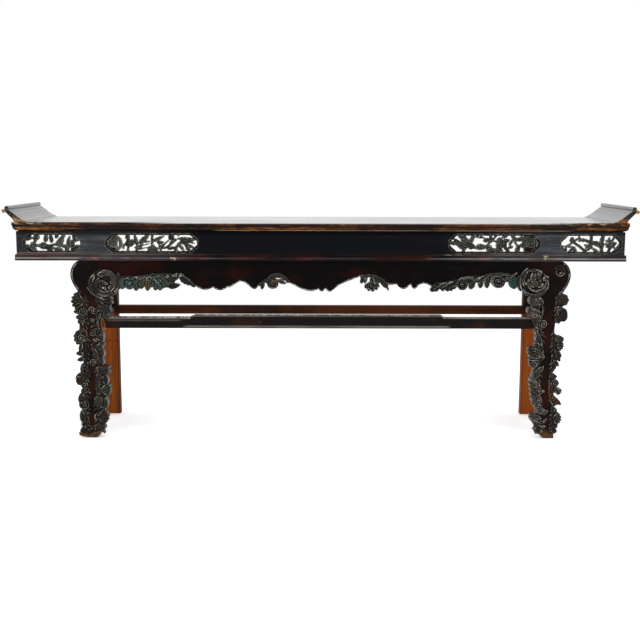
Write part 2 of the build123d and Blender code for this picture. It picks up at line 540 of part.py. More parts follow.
def flange_front_outline():
    """Section of the right-hand flange: hollow inner face, steeper outer face."""
    hollow = (FLANGE_INNER_FOOT + FLANGE_JOINT_OUT * 0.5, TOP_HEIGHT + FLANGE_JOINT_RISE * 0.37)
    back = ((FLANGE_OUTER_FOOT + JOINT_OUT[0]) / 2 - 2, (TOP_HEIGHT + JOINT_OUT[1]) / 2)
    outline = ThreePointArc((FLANGE_INNER_FOOT, TOP_HEIGHT), hollow, JOINT_IN)
    outline += Line(JOINT_IN, JOINT_OUT)
    outline += ThreePointArc(JOINT_OUT, back, (FLANGE_OUTER_FOOT, TOP_HEIGHT))
    outline += Line((FLANGE_OUTER_FOOT, TOP_HEIGHT), (FLANGE_INNER_FOOT, TOP_HEIGHT))
    return make_face(outline)


def flange(side):
    """Upswept board on the top's end."""
    reach = HALF_DEPTH - FLANGE_SETBACK
    board = front_slab(flange_front_outline() - cap_tongue(FIT), -reach, reach)
    if side < 0:
        board = mirrored(board)
    return board + flange_tongue(side) - flange_dowels(side, FIT)


def flange_cap(side):
    """Rolled cap with its outward-curling lip."""
    shoulder = (ROLL_MIDDLE[0] - CAP_ROLL_RADIUS * 0.9, ROLL_MIDDLE[1] - CAP_ROLL_RADIUS * 0.8)
    under_lip = (LIP_MIDDLE[0] - CAP_LIP_RADIUS * 1.3, LIP_MIDDLE[1] - CAP_LIP_RADIUS * 0.9)
    web = closed([JOINT_IN, shoulder, ROLL_MIDDLE, LIP_MIDDLE, under_lip, JOINT_OUT])
    rounds = [Pos(*ROLL_MIDDLE) * Circle(CAP_ROLL_RADIUS), Pos(*LIP_MIDDLE) * Circle(CAP_LIP_RADIUS)]
    tongue = cap_tongue() - flange_front_outline().moved(Location((100 * LENGTH, 0, 0)))
    reach = HALF_DEPTH - FLANGE_SETBACK
    cap = front_slab(web + rounds + tongue, -reach, reach)
    return cap if side > 0 else mirrored(cap)


def flange_dowels(side, gap=0.0):
    """Three dowels between a flange's foot and the end member."""
    x = side * (FLANGE_INNER_FOOT + FLANGE_BASE * 0.75)
    low, high = TOP_HEIGHT - TOP_THICK * 0.4 - gap, TOP_HEIGHT + 10 + gap
    radius = PEG_RADIUS * 0.75 + gap
    places = (-OPEN_HALF_Y * 0.8, 0, OPEN_HALF_Y * 0.8)
    return [Pos(x, y, (low + high) / 2) * Cylinder(radius, high - low) for y in places]


# ---------------------------------------------------------------- frieze, openwork, moulding
def cartouche(length, grow=0.0):
    """Long opening with slanted corners, centred on the origin."""
    a, b = length / 2 + grow, CARTOUCHE_HEIGHT / 2 + grow
    cx, cz = CARTOUCHE_CORNER_X, CARTOUCHE_CORNER_Z
    return closed([(-a + cx, -b), (a - cx, -b), (a, -b + cz), (a, b - cz),
                   (a - cx, b), (-a + cx, b), (-a, b - cz), (-a, -b + cz)])


def cartouche_middle(side, margin, length):
    """X of an opening's middle."""
    return side * (FRIEZE_HALF - margin - length / 2)


OPENINGS = {
    "outer_left": (cartouche_middle(-1, *OUTER_LEFT), OUTER_LEFT[1]),
    "inner_left": (cartouche_middle(-1, *INNER_LEFT), INNER_LEFT[1]),
    "inner_right": (cartouche_middle(1, *INNER_RIGHT), INNER_RIGHT[1]),
    "outer_right": (cartouche_middle(1, *OUTER_RIGHT), OUTER_RIGHT[1]),
}


def frieze_board():
    """Front board with four openings, each rebated from behind and beaded in front."""
    board = box((-FRIEZE_HALF, FRIEZE_FACE, FRIEZE_UNDER), (FRIEZE_HALF, FRIEZE_BACK, TOP_UNDER))
    board = board + [frieze_tongue(), frieze_lower_tongue()]
    cuts = []
    beads = []
    for x, length in OPENINGS.values():
        here = Pos(x, CARTOUCHE_Z)
        cuts.append(front_slab(here * cartouche(length), FRIEZE_FACE - 5, FRIEZE_BACK + 5))
        rebate = here * cartouche(length, OPENWORK_REBATE)
        cuts.append(front_slab(rebate, FRIEZE_BACK - OPENWORK_REBATE_DEPTH, FRIEZE_BACK + 5))
        ring = cartouche(length, 1 + CARTOUCHE_BEAD) - cartouche(length, 1)
        beads.append(front_slab(here * ring, FRIEZE_FACE - CARTOUCHE_BEAD_PROUD, FRIEZE_FACE + 1))
    return board + beads - cuts


def openwork(name, stems, leaves, extra):
    """Pierced panel: a rim in the rebate and foliage that stands forward in the opening."""
    x, length = OPENINGS[name]
    half = length / 2

    def place(px, pz):
        return px * half / 100, pz * CARTOUCHE_HEIGHT / 200

    foliage = carving(stems, leaves, [], place, OPENWORK_UNIT)
    if extra:
        foliage = foliage + extra(place)
    foliage = foliage & cartouche(length, -FIT)
    rim = cartouche(length, OPENWORK_REBATE - FIT) - cartouche(length, -OPENWORK_RIM)
    here = Pos(x, CARTOUCHE_Z)
    back = FRIEZE_BACK - OPENWORK_BACK_SINK
    rim_front = FRIEZE_BACK - OPENWORK_REBATE_DEPTH
    panel = front_slab(here * rim, rim_front, back)
    return panel + front_slab(here * foliage, FRIEZE_FACE + OPENWORK_FACE_SINK, back)


def crescent_flower(place):
    """Crescent round a flower heart."""
    px, pz = CRESCENT
    x, z = place(px, pz)
    outer, inner = CRESCENT_RADIUS * OPENWORK_UNIT, (CRESCENT_RADIUS - 7) * OPENWORK_UNIT
    heart = CRESCENT_HEART * OPENWORK_UNIT
    moon = Pos(x, z) * Circle(outer) - Pos(x - (outer - inner) * 1.3, z) * Circle(inner)
    link = leaf((x, z), (x + outer * 0.94, z), heart)
    return [moon, Pos(x, z) * Circle(heart), link]


def boss(place):
    """Round flower at the end of a panel."""
    px, pz, radius = BOSS
    return [Pos(*place(px, pz)) * Circle(radius * OPENWORK_UNIT)]


def frieze_lower_tongue(gap=0.0):
    """Tongue on the frieze's lower edge, in the moulding."""
    middle = (FRIEZE_FACE + FRIEZE_BACK) / 2
    half = FRIEZE_HALF - 12
    low = (-half, middle - FRIEZE_TONGUE / 2, FRIEZE_UNDER - MOULDING_TONGUE)
    high = (half, middle + FRIEZE_TONGUE / 2, FRIEZE_UNDER + 1)
    return grown(low, high, gap)


def apron_top_tongue(gap=0.0):
    """Tongue on the apron's upper edge, in the moulding's underside."""
    middle = (LEG_FACE + FRIEZE_BACK) / 2
    half = LEG_INNER - 2
    low = (-half, middle - APRON_TOP_TONGUE / 2, MOULDING_UNDER - 1)
    high = (half, middle + APRON_TOP_TONGUE / 2, MOULDING_UNDER + FRIEZE_TONGUE_RISE)
    return grown(low, high, gap)


def frieze_moulding():
    """Bead strip under the frieze."""
    face = FRIEZE_FACE - MOULDING_PROUD
    bead_high = MOULDING_UNDER + MOULDING_BEAD
    cove_foot = (face + MOULDING_PROUD * 0.4, bead_high + 1)
    outline = Polyline((FRIEZE_BACK, MOULDING_UNDER), (face + 2, MOULDING_UNDER))
    outline += ThreePointArc((face + 2, MOULDING_UNDER), (face, (MOULDING_UNDER + bead_high) / 2),
                             (face + 2, bead_high))
    outline += Polyline((face + 2, bead_high), cove_foot)
    outline += ThreePointArc(cove_foot, (FRIEZE_FACE - 1.5, FRIEZE_UNDER - 5), (FRIEZE_FACE, FRIEZE_UNDER))
    outline += Polyline((FRIEZE_FACE, FRIEZE_UNDER), (FRIEZE_BACK, FRIEZE_UNDER), (FRIEZE_BACK, MOULDING_UNDER))
    half = FRIEZE_HALF + MOULDING_END
    bar = long_bar(make_face(outline), -half, half)
    return bar - [frieze_lower_tongue(FIT), apron_top_tongue(FIT)]


# ---------------------------------------------------------------- apron
def apron_point(px, drop):
    """Point on the apron: percent of half its length, percent of its depth below the moulding."""
    return px * LEG_INNER / 100, MOULDING_UNDER - drop * APRON_DEPTH / 100


def apron_outline():
    """Apron seen from the front, with its cusped lower edge."""
    edge = []
    for stretch in APRON_EDGE:
        points = [apron_point(*p) for p in stretch]
        edge.append(Line(*points) if len(points) == 2 else Spline(*points))
    left_low, right_low = apron_point(*APRON_EDGE[0][0]), apron_point(*APRON_EDGE[-1][-1])
    frame = Polyline(right_low, (LEG_INNER, MOULDING_UNDER), (-LEG_INNER, MOULDING_UNDER), left_low)
    return make_face(edge + [frame])


def apron_end_tongues(gap=0.0):
    """Tongues of the apron in both front legs."""
    low_z = apron_point(*APRON_EDGE[0][0])[1] + 12
    middle = LEG_FACE + APRON_THICK / 2
    tongues = []
    for side in (-1, 1):
        a, b = side * (LEG_INNER - 1), side * (LEG_INNER + APRON_TONGUE_LENGTH)
        low = (min(a, b), middle - APRON_TONGUE / 2, low_z)
        high = (max(a, b), middle + APRON_TONGUE / 2, MOULDING_UNDER - 8)
        tongues.append(grown(low, high, gap))
    return tongues


def apron_board():
    """Shaped board between the front legs."""
    board = front_slab(apron_outline(), LEG_FACE, LEG_FACE + APRON_THICK)
    board = board + [apron_top_tongue()] + apron_end_tongues()
    return board - apron_pins(PIN_RADIUS + FIT)


def apron_carving(stems, leaves, discs):
    """Carving fixed to the apron's face and lower edge."""
    outline = carving(stems, leaves, discs, apron_point, APRON_UNIT)
    room = box_outline(-LEG_INNER + FIT, LEG_INNER - FIT, 0, MOULDING_UNDER)
    outline = (outline & room) - [roundel_room(-1), roundel_room(1)]
    return applied(outline, apron_outline(), APRON_THICK) - apron_pins(PIN_RADIUS + FIT)


def roundel_room(side):
    """Outline kept free for a roundel."""
    middle = Pos(side * (LEG_INNER - ROUNDEL_INSET), MOULDING_UNDER - ROUNDEL_DROP)
    return middle * Circle(ROUNDEL_RADIUS + FIT)


def box_outline(x_low, x_high, z_low, z_high):
    """Rectangle between two corners."""
    return closed([(x_low, z_low), (x_high, z_low), (x_high, z_high), (x_low, z_high)])


APRON_PIN_PLACES = ((-88, 52), (-72, 50), (-20.4, 50), (23, 46), (72, 50), (88, 50))


def apron_pins(radius=PIN_RADIUS):
    """Pins through the apron's carving into its face."""
    front = CARVING_FACE + 3 - (radius - PIN_RADIUS)
    back = front + PIN_LENGTH + 2 * (radius - PIN_RADIUS)
    return [y_peg(*apron_point(*place), front, back, radius) for place in APRON_PIN_PLACES]


# ---------------------------------------------------------------- front legs
def leg_outline():
    """Right front leg below the moulding, seen from the front."""
    cusp = (LEG_OUTER, MOULDING_UNDER - EAR_HEIGHT)
    ear = Spline((LEG_OUTER + EAR_TOP_RUN, MOULDING_UNDER),
                 (LEG_OUTER + EAR_BULGE * 0.78, MOULDING_UNDER - EAR_HEIGHT * 0.14),
                 (LEG_OUTER + EAR_BULGE, MOULDING_UNDER - EAR_HEIGHT * 0.38),
                 (LEG_OUTER + EAR_BULGE * 0.72, MOULDING_UNDER - EAR_HEIGHT * 0.66),
                 cusp)
    waist = (LEG_INNER + LEG_WAIST_WIDTH, cusp[1] * 0.52)
    ankle = (LEG_INNER + LEG_ANKLE_WIDTH, FOOT_HEIGHT)
    heel = (LEG_INNER + LEG_ANKLE_WIDTH, 0)
    shin = Spline(cusp, waist, ankle)
    toe_top = (LEG_INNER, FOOT_HEIGHT)
    toe = (LEG_INNER + FOOT_TAPER, 0)
    foot = ThreePointArc(toe, (LEG_INNER + FOOT_TAPER * 0.25, FOOT_HEIGHT * 0.42), toe_top)
    rest = Polyline(toe_top, (LEG_INNER, MOULDING_UNDER), (LEG_OUTER + EAR_TOP_RUN, MOULDING_UNDER))
    return make_face(ear + shin + Line(ankle, heel) + Line(heel, toe) + foot + rest)


def waist_at(height_percent):
    """Roughly where the leg's outer edge is at a height, on the safe side."""
    low = LEG_INNER + LEG_WAIST_WIDTH
    return low if 25 < height_percent < 60 else LEG_INNER + min(LEG_SHOULDER_WIDTH, LEG_ANKLE_WIDTH)


def front_stretcher_tenon(side, gap=0.0):
    """Tenon in the upper half of the stretcher's end."""
    z_low = STRETCHER_Z + STRETCHER_HEIGHT / 2
    z_high = STRETCHER_Z + STRETCHER_HEIGHT - TENON_SHOULDER
    return side_tenon(side, LEG_INNER, STRETCHER_MIDDLE, STRETCHER_THICK, z_low, z_high, gap)


def side_tenon(side, shoulder, middle, thick, z_low, z_high, gap):
    """Tenon that runs outwards along X from a shoulder."""
    a, b = side * (shoulder - 1), side * (shoulder + TENON_LENGTH)
    half = thick / 2 - TENON_SHOULDER
    return grown((min(a, b), middle - half, z_low), (max(a, b), middle + half, z_high), gap)


def side_member_tenons(side, z_low, height, gap=0.0):
    """Two tenons of a side rail or stretcher, in its lower half, into front and back legs."""
    half = SIDE_THICK / 2 - TENON_SHOULDER
    x = side * SIDE_X
    low_z, high_z = z_low + TENON_SHOULDER, z_low + height / 2 - 1
    front = grown((x - half, LEG_BACK - SIDE_TENON_LENGTH, low_z), (x + half, LEG_BACK + 1, high_z), gap)
    back = grown((x - half, BACK_LEG_FACE - 1, low_z),
                 (x + half, BACK_LEG_FACE + SIDE_TENON_LENGTH, high_z), gap)
    return [front, back]


def side_member(side, z_low, height):
    """Bar from a front leg to a back leg."""
    x = side * SIDE_X
    half = SIDE_THICK / 2
    bar = box((x - half, LEG_BACK, z_low), (x + half, BACK_LEG_FACE, z_low + height))
    return bar + side_member_tenons(side, z_low, height)


def leg_mortises(side):
    """Mortises of the side rail and side stretcher, the same in front and back legs."""
    cuts = side_member_tenons(side, TOP_UNDER - SIDE_RAIL_HEIGHT, SIDE_RAIL_HEIGHT, FIT)
    return cuts + side_member_tenons(side, STRETCHER_Z, SIDE_STRETCHER_HEIGHT, FIT)


def front_leg(side):
    """Carved leg's post: full width below the moulding, cut back behind moulding and frieze."""
    post = front_slab(leg_outline(), LEG_FACE, LEG_BACK)
    upper_outer = LEG_INNER + LEG_WAIST_WIDTH
    post += box((LEG_INNER, FRIEZE_BACK, MOULDING_UNDER - 1), (upper_outer, LEG_BACK, TOP_UNDER))
    if side < 0:
        post = mirrored(post)
    post = post + [t & half_space(side, LEG_INNER, -HALF_DEPTH, 0) for t in leg_tenons()]
    cuts = leg_mortises(side) + [front_stretcher_tenon(side, FIT)] + apron_end_tongues(FIT)
    cuts += front_pegs(PEG_RADIUS + FIT) + roundel_dowels(DOWEL_RADIUS + FIT) + vine_pins(PIN_RADIUS + FIT)
    return post - cuts


def half_space(side, from_x, y_low, y_high):
    """Large box on one side of the table."""
    a, b = side * (from_x - 1), side * LENGTH
    return box((min(a, b), y_low, -1), (max(a, b), y_high, TOP_HEIGHT + FLANGE_RISE))


def front_pegs(radius=PEG_RADIUS):
    """Pegs through the front stretcher's tenons, driven from behind."""
    z = STRETCHER_Z + STRETCHER_HEIGHT * 0.75 - TENON_SHOULDER / 2
    gap = radius - PEG_RADIUS
    return [y_peg(side * (LEG_INNER + TENON_LENGTH / 2), z, STRETCHER_FACE + 2 - gap, LEG_BACK + gap, radius)
            for side in (-1, 1)]


# ---------------------------------------------------------------- applied carving on the legs
def vine_place(side, edge, outwards):
    """Layout of a vine: offset from a leg's edge, percent of the leg's height."""
    def place(offset, height):
        return side * (edge + outwards * offset * VINE_UNIT), height * MOULDING_UNDER / 100
    return place


def vine(side, edge, outwards, main_stem, leaves, discs):
    """Flower and leaf strip along one edge of a front leg."""
    outline = carving([main_stem], leaves, discs, vine_place(side, edge, outwards), VINE_UNIT)
    outline = outline & box_outline(-HALF_LENGTH, HALF_LENGTH, VINE_FLOOR_GAP, MOULDING_UNDER)
    outline = outline - roundel_room(side)
    host = leg_outline() if side > 0 else mirror(leg_outline(), Plane.YZ)
    strip = applied(outline, host)
    return strip - stretcher_room(side) - vine_pins(PIN_RADIUS + FIT)


def stretcher_room(side):
    """Space of the front stretcher beside the leg."""
    a, b = 0, side * LEG_INNER
    low = (min(a, b), STRETCHER_FACE - STRETCHER_BEAD_PROUD - FIT, STRETCHER_Z - FIT)
    high = (max(a, b), LEG_BACK, STRETCHER_Z + STRETCHER_HEIGHT + FIT)
    return box(low, high)


def vine_pins(radius=PIN_RADIUS):
    """Bamboo pins: across into the legs' outer edges, and straight into their faces."""
    gap = radius - PIN_RADIUS
    across_y = LEG_FACE + CARVING_DEPTH / 2
    front = CARVING_FACE + 3 - gap
    pins = []
    for side in (-1, 1):
        for height in VINE_PIN_HEIGHTS:
            z = height * MOULDING_UNDER / 100
            x = waist_at(height)
            inner, outer = x - PIN_LENGTH / 2 - gap, x + PIN_LENGTH / 2 + gap
            pins.append(x_peg(side * inner, side * outer, across_y, z, radius))
        for height in VINE_FACE_PIN_HEIGHTS:
            z = height * MOULDING_UNDER / 100
            x = side * (LEG_INNER + VINE_PIN_INSET)
            pins.append(y_peg(x, z, front, front + PIN_LENGTH + 2 * gap, radius))
    return pins


def roundel(side):
    """Peony boss: rings of petals round a bud, turned on the lathe and carved."""
    r, t = ROUNDEL_RADIUS, ROUNDEL_THICK
    outline = Polyline((0, 0), (r, 0), (r, t * 0.35))
    outline += ThreePointArc((r, t * 0.35), (r * 0.9, t * 0.78), (r * 0.74, t * 0.8))
    outline += ThreePointArc((r * 0.74, t * 0.8), (r * 0.6, t * 0.52), (r * 0.5, t * 0.7))
    outline += ThreePointArc((r * 0.5, t * 0.7), (r * 0.42, t * 0.8), (r * 0.32, t * 0.6))
    bud_foot, bud_rise = r * 0.32, t * 0.4
    bud_radius = (bud_foot ** 2 + bud_rise ** 2) / (2 * bud_rise)
    shoulder = t - bud_radius + (bud_radius ** 2 - bud_foot ** 2 / 4) ** 0.5
    bud_tip = t - bud_radius + (bud_radius ** 2 - (bud_foot * 0.1) ** 2) ** 0.5
    outline += ThreePointArc((bud_foot, t - bud_rise), (bud_foot / 2, shoulder), (bud_foot * 0.1, bud_tip))
    outline += Polyline((bud_foot * 0.1, bud_tip), (0, bud_tip), (0, 0))
    turned = revolve(make_face(outline), Axis.Y)
    place = Pos(side * (LEG_INNER - ROUNDEL_INSET), LEG_FACE, MOULDING_UNDER - ROUNDEL_DROP)
    boss_solid = place * mirror(turned, Plane.XZ)
    return boss_solid - roundel_dowels(DOWEL_RADIUS + FIT)


def roundel_dowels(radius=DOWEL_RADIUS):
    """Dowels that hold the roundels on the legs."""
    gap = radius - DOWEL_RADIUS
    z = MOULDING_UNDER - ROUNDEL_DROP
    y_front, y_back = LEG_FACE - ROUNDEL_THICK * 0.3 - gap, LEG_FACE + LEG_THICK * 0.45 + gap
    return [y_peg(side * (LEG_INNER + DOWEL_INSET), z, y_front, y_back, radius) for side in (-1, 1)]


# ---------------------------------------------------------------- back legs, rails, stretchers
def back_tenon(side, z_low, z_high, thick, gap=0.0):
    """Tenon of the back rail or back stretcher in a back leg."""
    return side_tenon(side, BACK_LEG_INNER, BACK_LEG_MIDDLE, thick, z_low, z_high, gap)


def back_stretcher_tenon(side, gap=0.0):
    z_low = STRETCHER_Z + BACK_STRETCHER_HEIGHT / 2
    z_high = STRETCHER_Z + BACK_STRETCHER_HEIGHT - TENON_SHOULDER
    return back_tenon(side, z_low, z_high, BACK_STRETCHER_THICK, gap)


def back_rail_tenon(side, gap=0.0):
    z_low = TOP_UNDER - BACK_RAIL_HEIGHT + TENON_SHOULDER
    return back_tenon(side, z_low, TOP_UNDER - TENON_SHOULDER, BACK_RAIL_THICK, gap)


def back_leg(side):
    """Plain board leg with mortises for back and side members."""
    a, b = side * BACK_LEG_INNER, side * BACK_LEG_OUTER
    board = box((min(a, b), BACK_LEG_FACE, 0), (max(a, b), BACK_LEG_BACK, TOP_UNDER))
    board = board + [t & half_space(side, BACK_LEG_INNER, 0, HALF_DEPTH) for t in leg_tenons()]
    cuts = leg_mortises(side) + [back_stretcher_tenon(side, FIT), back_rail_tenon(side, FIT)]
    return board - cuts - back_pegs(PEG_RADIUS + FIT)


def back_pegs(radius=PEG_RADIUS):
    """Pegs through the tenons of the back rail and back stretcher, driven from behind."""
    gap = radius - PEG_RADIUS
    heights = (STRETCHER_Z + BACK_STRETCHER_HEIGHT * 0.75 - TENON_SHOULDER / 2,
               TOP_UNDER - BACK_RAIL_HEIGHT / 2)
    return [y_peg(side * (BACK_LEG_INNER + TENON_LENGTH * 0.4), z, BACK_LEG_FACE + 5 - gap,
                  BACK_LEG_BACK + gap, radius)
            for side in (-1, 1) for z in heights]


def back_bar(z_low, height, thick, tenon):
    """Bar between the back legs."""
    low = (-BACK_LEG_INNER, BACK_LEG_MIDDLE - thick / 2, z_low)
    high = (BACK_LEG_INNER, BACK_LEG_MIDDLE + thick / 2, z_low + height)
    return box(low, high) + [tenon(-1), tenon(1)] - back_pegs(PEG_RADIUS + FIT)


def front_stretcher():
    """Stretcher between the front legs, with a raised and beaded middle part."""
    low, high = STRETCHER_Z, STRETCHER_Z + STRETCHER_HEIGHT
    left, right, raised = RAISE_START_LEFT - LEG_INNER, LEG_INNER - RAISE_START_RIGHT, high + STRETCHER_RAISE
    ramp = STRETCHER_RAMP
    outline = closed([(-LEG_INNER, low), (LEG_INNER, low), (LEG_INNER, high), (right + ramp * 0.3, high),
                      (right, raised), (left, raised), (left - ramp * 0.3, high), (-LEG_INNER, high)])
    bar = front_slab(outline, STRETCHER_FACE, STRETCHER_FACE + STRETCHER_THICK)
    bead_face = STRETCHER_FACE - STRETCHER_BEAD_PROUD
    upper = closed([(left, raised), (right, raised), (right, raised - STRETCHER_BEAD),
                    (left, raised - STRETCHER_BEAD)])
    lower = closed([(left - ramp, low), (right + ramp, low), (right + ramp * 0.7, low + STRETCHER_BEAD),
                    (left - ramp * 0.7, low + STRETCHER_BEAD)])
    bar = bar + [front_slab(strip, bead_face, STRETCHER_FACE + 1) for strip in (upper, lower)]
    return bar + [front_stretcher_tenon(-1), front_stretcher_tenon(1)] - front_pegs(PEG_RADIUS + FIT)


# ---------------------------------------------------------------- all nodes
def build():
    """Every node by name."""
    inner_vine = {"edge": LEG_INNER, "outwards": -1, "main_stem": VINE_INNER_STEM}
    outer_vine = {"edge": LEG_OUTER, "outwards": 1}
    nodes = {
        "top_front_rail": long_rail(-1),
        "top_back_rail": long_rail(1),
        "top_panel": top_panel(),
        "frieze_board": frieze_board(),
        "frieze_moulding": frieze_moulding(),
        "apron_board": apron_board(),
        "apron_foliage_left": apron_carving(FOLIAGE_LEFT_STEMS, FOLIAGE_LEFT_LEAVES, []),
        "apron_foliage_right": apron_carving(FOLIAGE_RIGHT_STEMS, FOLIAGE_RIGHT_LEAVES, []),
        "apron_flower_left": apron_carving([], FLOWER_LEFT_LEAVES, [FLOWER_LEFT_DISC]),
        "apron_flower_right": apron_carving([], FLOWER_RIGHT_LEAVES, [FLOWER_RIGHT_DISC]),
        "openwork_outer_left": openwork("outer_left", OUTER_LEFT_STEMS, OUTER_LEFT_LEAVES, None),
        "openwork_inner_left": openwork("inner_left", INNER_LEFT_STEMS, INNER_LEFT_LEAVES,
                                        crescent_flower),
        "openwork_inner_right": openwork("inner_right", INNER_RIGHT_STEMS, INNER_RIGHT_LEAVES, boss),
        "openwork_outer_right": openwork("outer_right", OUTER_RIGHT_STEMS, OUTER_RIGHT_LEAVES, None),
        "vine_outer_left": vine(-1, main_stem=VINE_OUTER_LEFT_STEM, leaves=VINE_OUTER_LEFT_LEAVES,
                                discs=VINE_OUTER_LEFT_DISCS, **outer_vine),
        "vine_inner_left": vine(-1, leaves=VINE_INNER_LEFT_LEAVES, discs=VINE_INNER_LEFT_DISCS,
                                **inner_vine),
        "vine_outer_right": vine(1, main_stem=VINE_OUTER_RIGHT_STEM, leaves=VINE_OUTER_RIGHT_LEAVES,
                                 discs=VINE_OUTER_RIGHT_DISCS, **outer_vine),
        "vine_inner_right": vine(1, leaves=VINE_INNER_RIGHT_LEAVES, discs=VINE_INNER_RIGHT_DISCS,
                                 **inner_vine),
        "front_stretcher": front_stretcher(),
        "back_stretcher": back_bar(STRETCHER_Z, BACK_STRETCHER_HEIGHT, BACK_STRETCHER_THICK,
                                   back_stretcher_tenon),
        "back_rail": back_bar(TOP_UNDER - BACK_RAIL_HEIGHT, BACK_RAIL_HEIGHT, BACK_RAIL_THICK,
                              back_rail_tenon),
        "front_joint_pegs": Compound(children=front_pegs()),
        "back_joint_pegs": Compound(children=back_pegs()),
        "roundel_dowels": Compound(children=roundel_dowels()),
        "vine_pins": Compound(children=vine_pins()),
        "apron_pins": Compound(children=apron_pins()),
        "flange_dowels": Compound(children=flange_dowels(-1) + flange_dowels(1)),
    }
    for number, x in enumerate(BATTEN_PLACES, 1):
        nodes[f"top_batten_{number}"] = batten_body(x)
    for name, side in (("left", -1), ("right", 1)):
        nodes[f"top_end_{name}"] = end_member(side)
        nodes[f"flange_{name}"] = flange(side)
        nodes[f"flange_cap_{name}"] = flange_cap(side)
        nodes[f"front_leg_{name}"] = front_leg(side)
        nodes[f"roundel_{name}"] = roundel(side)
        nodes[f"back_leg_{name}"] = back_leg(side)
        nodes[f"side_rail_{name}"] = side_member(side, TOP_UNDER - SIDE_RAIL_HEIGHT, SIDE_RAIL_HEIGHT)
        nodes[f"side_stretcher_{name}"] = side_member(side, STRETCHER_Z, SIDE_STRETCHER_HEIGHT)
    return nodes


os.makedirs("parts", exist_ok=True)
for node, shape in build().items():
    export_step(shape, f"parts/{node}.step")
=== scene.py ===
"""Chinese altar table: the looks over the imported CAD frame.

Reliefs are worked out in mm, objects and materials in metres.
"""
import json
import math

import bpy
import numpy as np
from mathutils import Matrix

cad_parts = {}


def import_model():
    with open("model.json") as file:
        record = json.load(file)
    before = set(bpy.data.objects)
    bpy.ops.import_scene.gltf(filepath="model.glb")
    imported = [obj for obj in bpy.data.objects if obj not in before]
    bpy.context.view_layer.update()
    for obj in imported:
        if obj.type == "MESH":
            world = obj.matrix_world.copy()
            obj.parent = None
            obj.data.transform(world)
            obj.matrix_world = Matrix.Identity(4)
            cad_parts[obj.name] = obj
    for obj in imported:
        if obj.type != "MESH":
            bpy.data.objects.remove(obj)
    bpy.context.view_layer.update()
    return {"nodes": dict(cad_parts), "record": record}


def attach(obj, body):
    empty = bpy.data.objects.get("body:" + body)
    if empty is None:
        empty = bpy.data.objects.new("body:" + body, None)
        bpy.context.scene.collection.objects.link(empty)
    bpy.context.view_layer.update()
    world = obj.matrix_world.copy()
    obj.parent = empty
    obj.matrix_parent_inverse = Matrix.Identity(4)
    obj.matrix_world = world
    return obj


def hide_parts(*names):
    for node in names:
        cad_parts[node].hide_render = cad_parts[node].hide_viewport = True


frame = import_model()

# ---------------------------------------------------------------- camera
CAMERA_PLACE = (-0.002, -4.543, 1.135)
CAMERA_PITCH = math.radians(8.34)
CAMERA_ROLL = math.radians(0.12)
FOCAL = 59.06
SENSOR = 36.0
FRAME_PIXELS = 640

# ---------------------------------------------------------------- planes of the table, mm
LEG_FACE = -228.0
FRIEZE_FACE = -238.0
CARVING_BACK = -198.0
APRON_BACK = -206.0
BURIED_BACK = -226.0
STRETCHER_BACK = -225.0
STRETCHER_FACE = -222.0
LEG_INNER = 912.0
STRETCHER_LOW = 465.0
STRETCHER_HIGH = 513.0
VINE_LOW = 3.0
VINE_HIGH = 706.0
EAR_FROM = 984.0             # the ears' free edges are outside this X and between these Z
EAR_LOW = 594.0
EAR_HIGH = 745.0
APRON_HIGH = 746.0           # the apron's lower edge stays under this
OPENWORK_BACK = -216.0
OPENING_MIDDLE = 820.5
OPENING_HEIGHT = 73.0
CORNER_LONG = 28.0           # slanted corners of the openings
CORNER_HIGH = 26.0
OPENINGS = {"outer_left": (-1101.5, 233.0), "inner_left": (-693.0, 376.0),
            "inner_right": (713.5, 371.0), "outer_right": (1109.0, 246.0)}
CARVED_Y = -236.0            # plane on which the pixels of the carving are read
PANEL_MARGIN = 9.0           # a panel's grid runs this far past its opening
PANEL_REACH = 46.0           # and this far above and below its middle
REBATE = 5.75                # a panel's rim runs this far past its opening
PANEL_RIM = 4.0              # and this far into the opening
PANEL_RIM_HEIGHT = 12.0
PANEL_SHOWN = 0.4            # further past its opening a panel is no higher than its rim
PANEL_SMOOTH = 3.0           # this far in from its edge a panel isn't ragged
STEM_FULLER = 1.3            # the foliage of the panels is this much fuller than its table
LEAF_LONGER = 1.14
INNER_LEAF_FULLER = 1.58
OUTER_LEAF_FULLER = 1.28
ROUNDEL_DEPTH = 1.45         # the roundels' forms are this much deeper than laid
LEG_GRID = 1.25              # steps of the reliefs' grids
FINE_GRID = 1.0
ROUNDEL_GRID = 0.8
HOST_MARGIN = 0.8            # carving this far inside its board's outline is backed by it
DEEPEST_CUT = -4.0           # cuts go no further behind the face
STRETCHER_CUT = -1.0         # and no further than this over the stretcher's end
EAR_INSET = 6.5              # the beads' distances from the edges of ear, apron and opening
APRON_BEAD_LIFT = 3.4
OPENING_RIM_OUT = 3.4
BEAD_RISE = 1.8
FINE_RISE = 1.6
BEAD_PARTS = 12
PIXEL = 4.12                 # mm across one pixel of the photograph on the carved faces

# ---------------------------------------------------------------- places in pixels of the photograph
EAR_SCROLL_PIXEL = (559.8, 271.8)
STRETCHER_BEAD_PIXELS = {
    "shoulder": ((106, 317.0), (186, 317.3)),
    "step": ((187.5, 318.6), (192.5, 315.4)),
    "lower": ((183, 327.4), (442, 328.2)),
    "upper": ((194, 315.0), (440, 315.8)),
    "far_step": ((441, 316.2), (444.5, 318.4)),
}

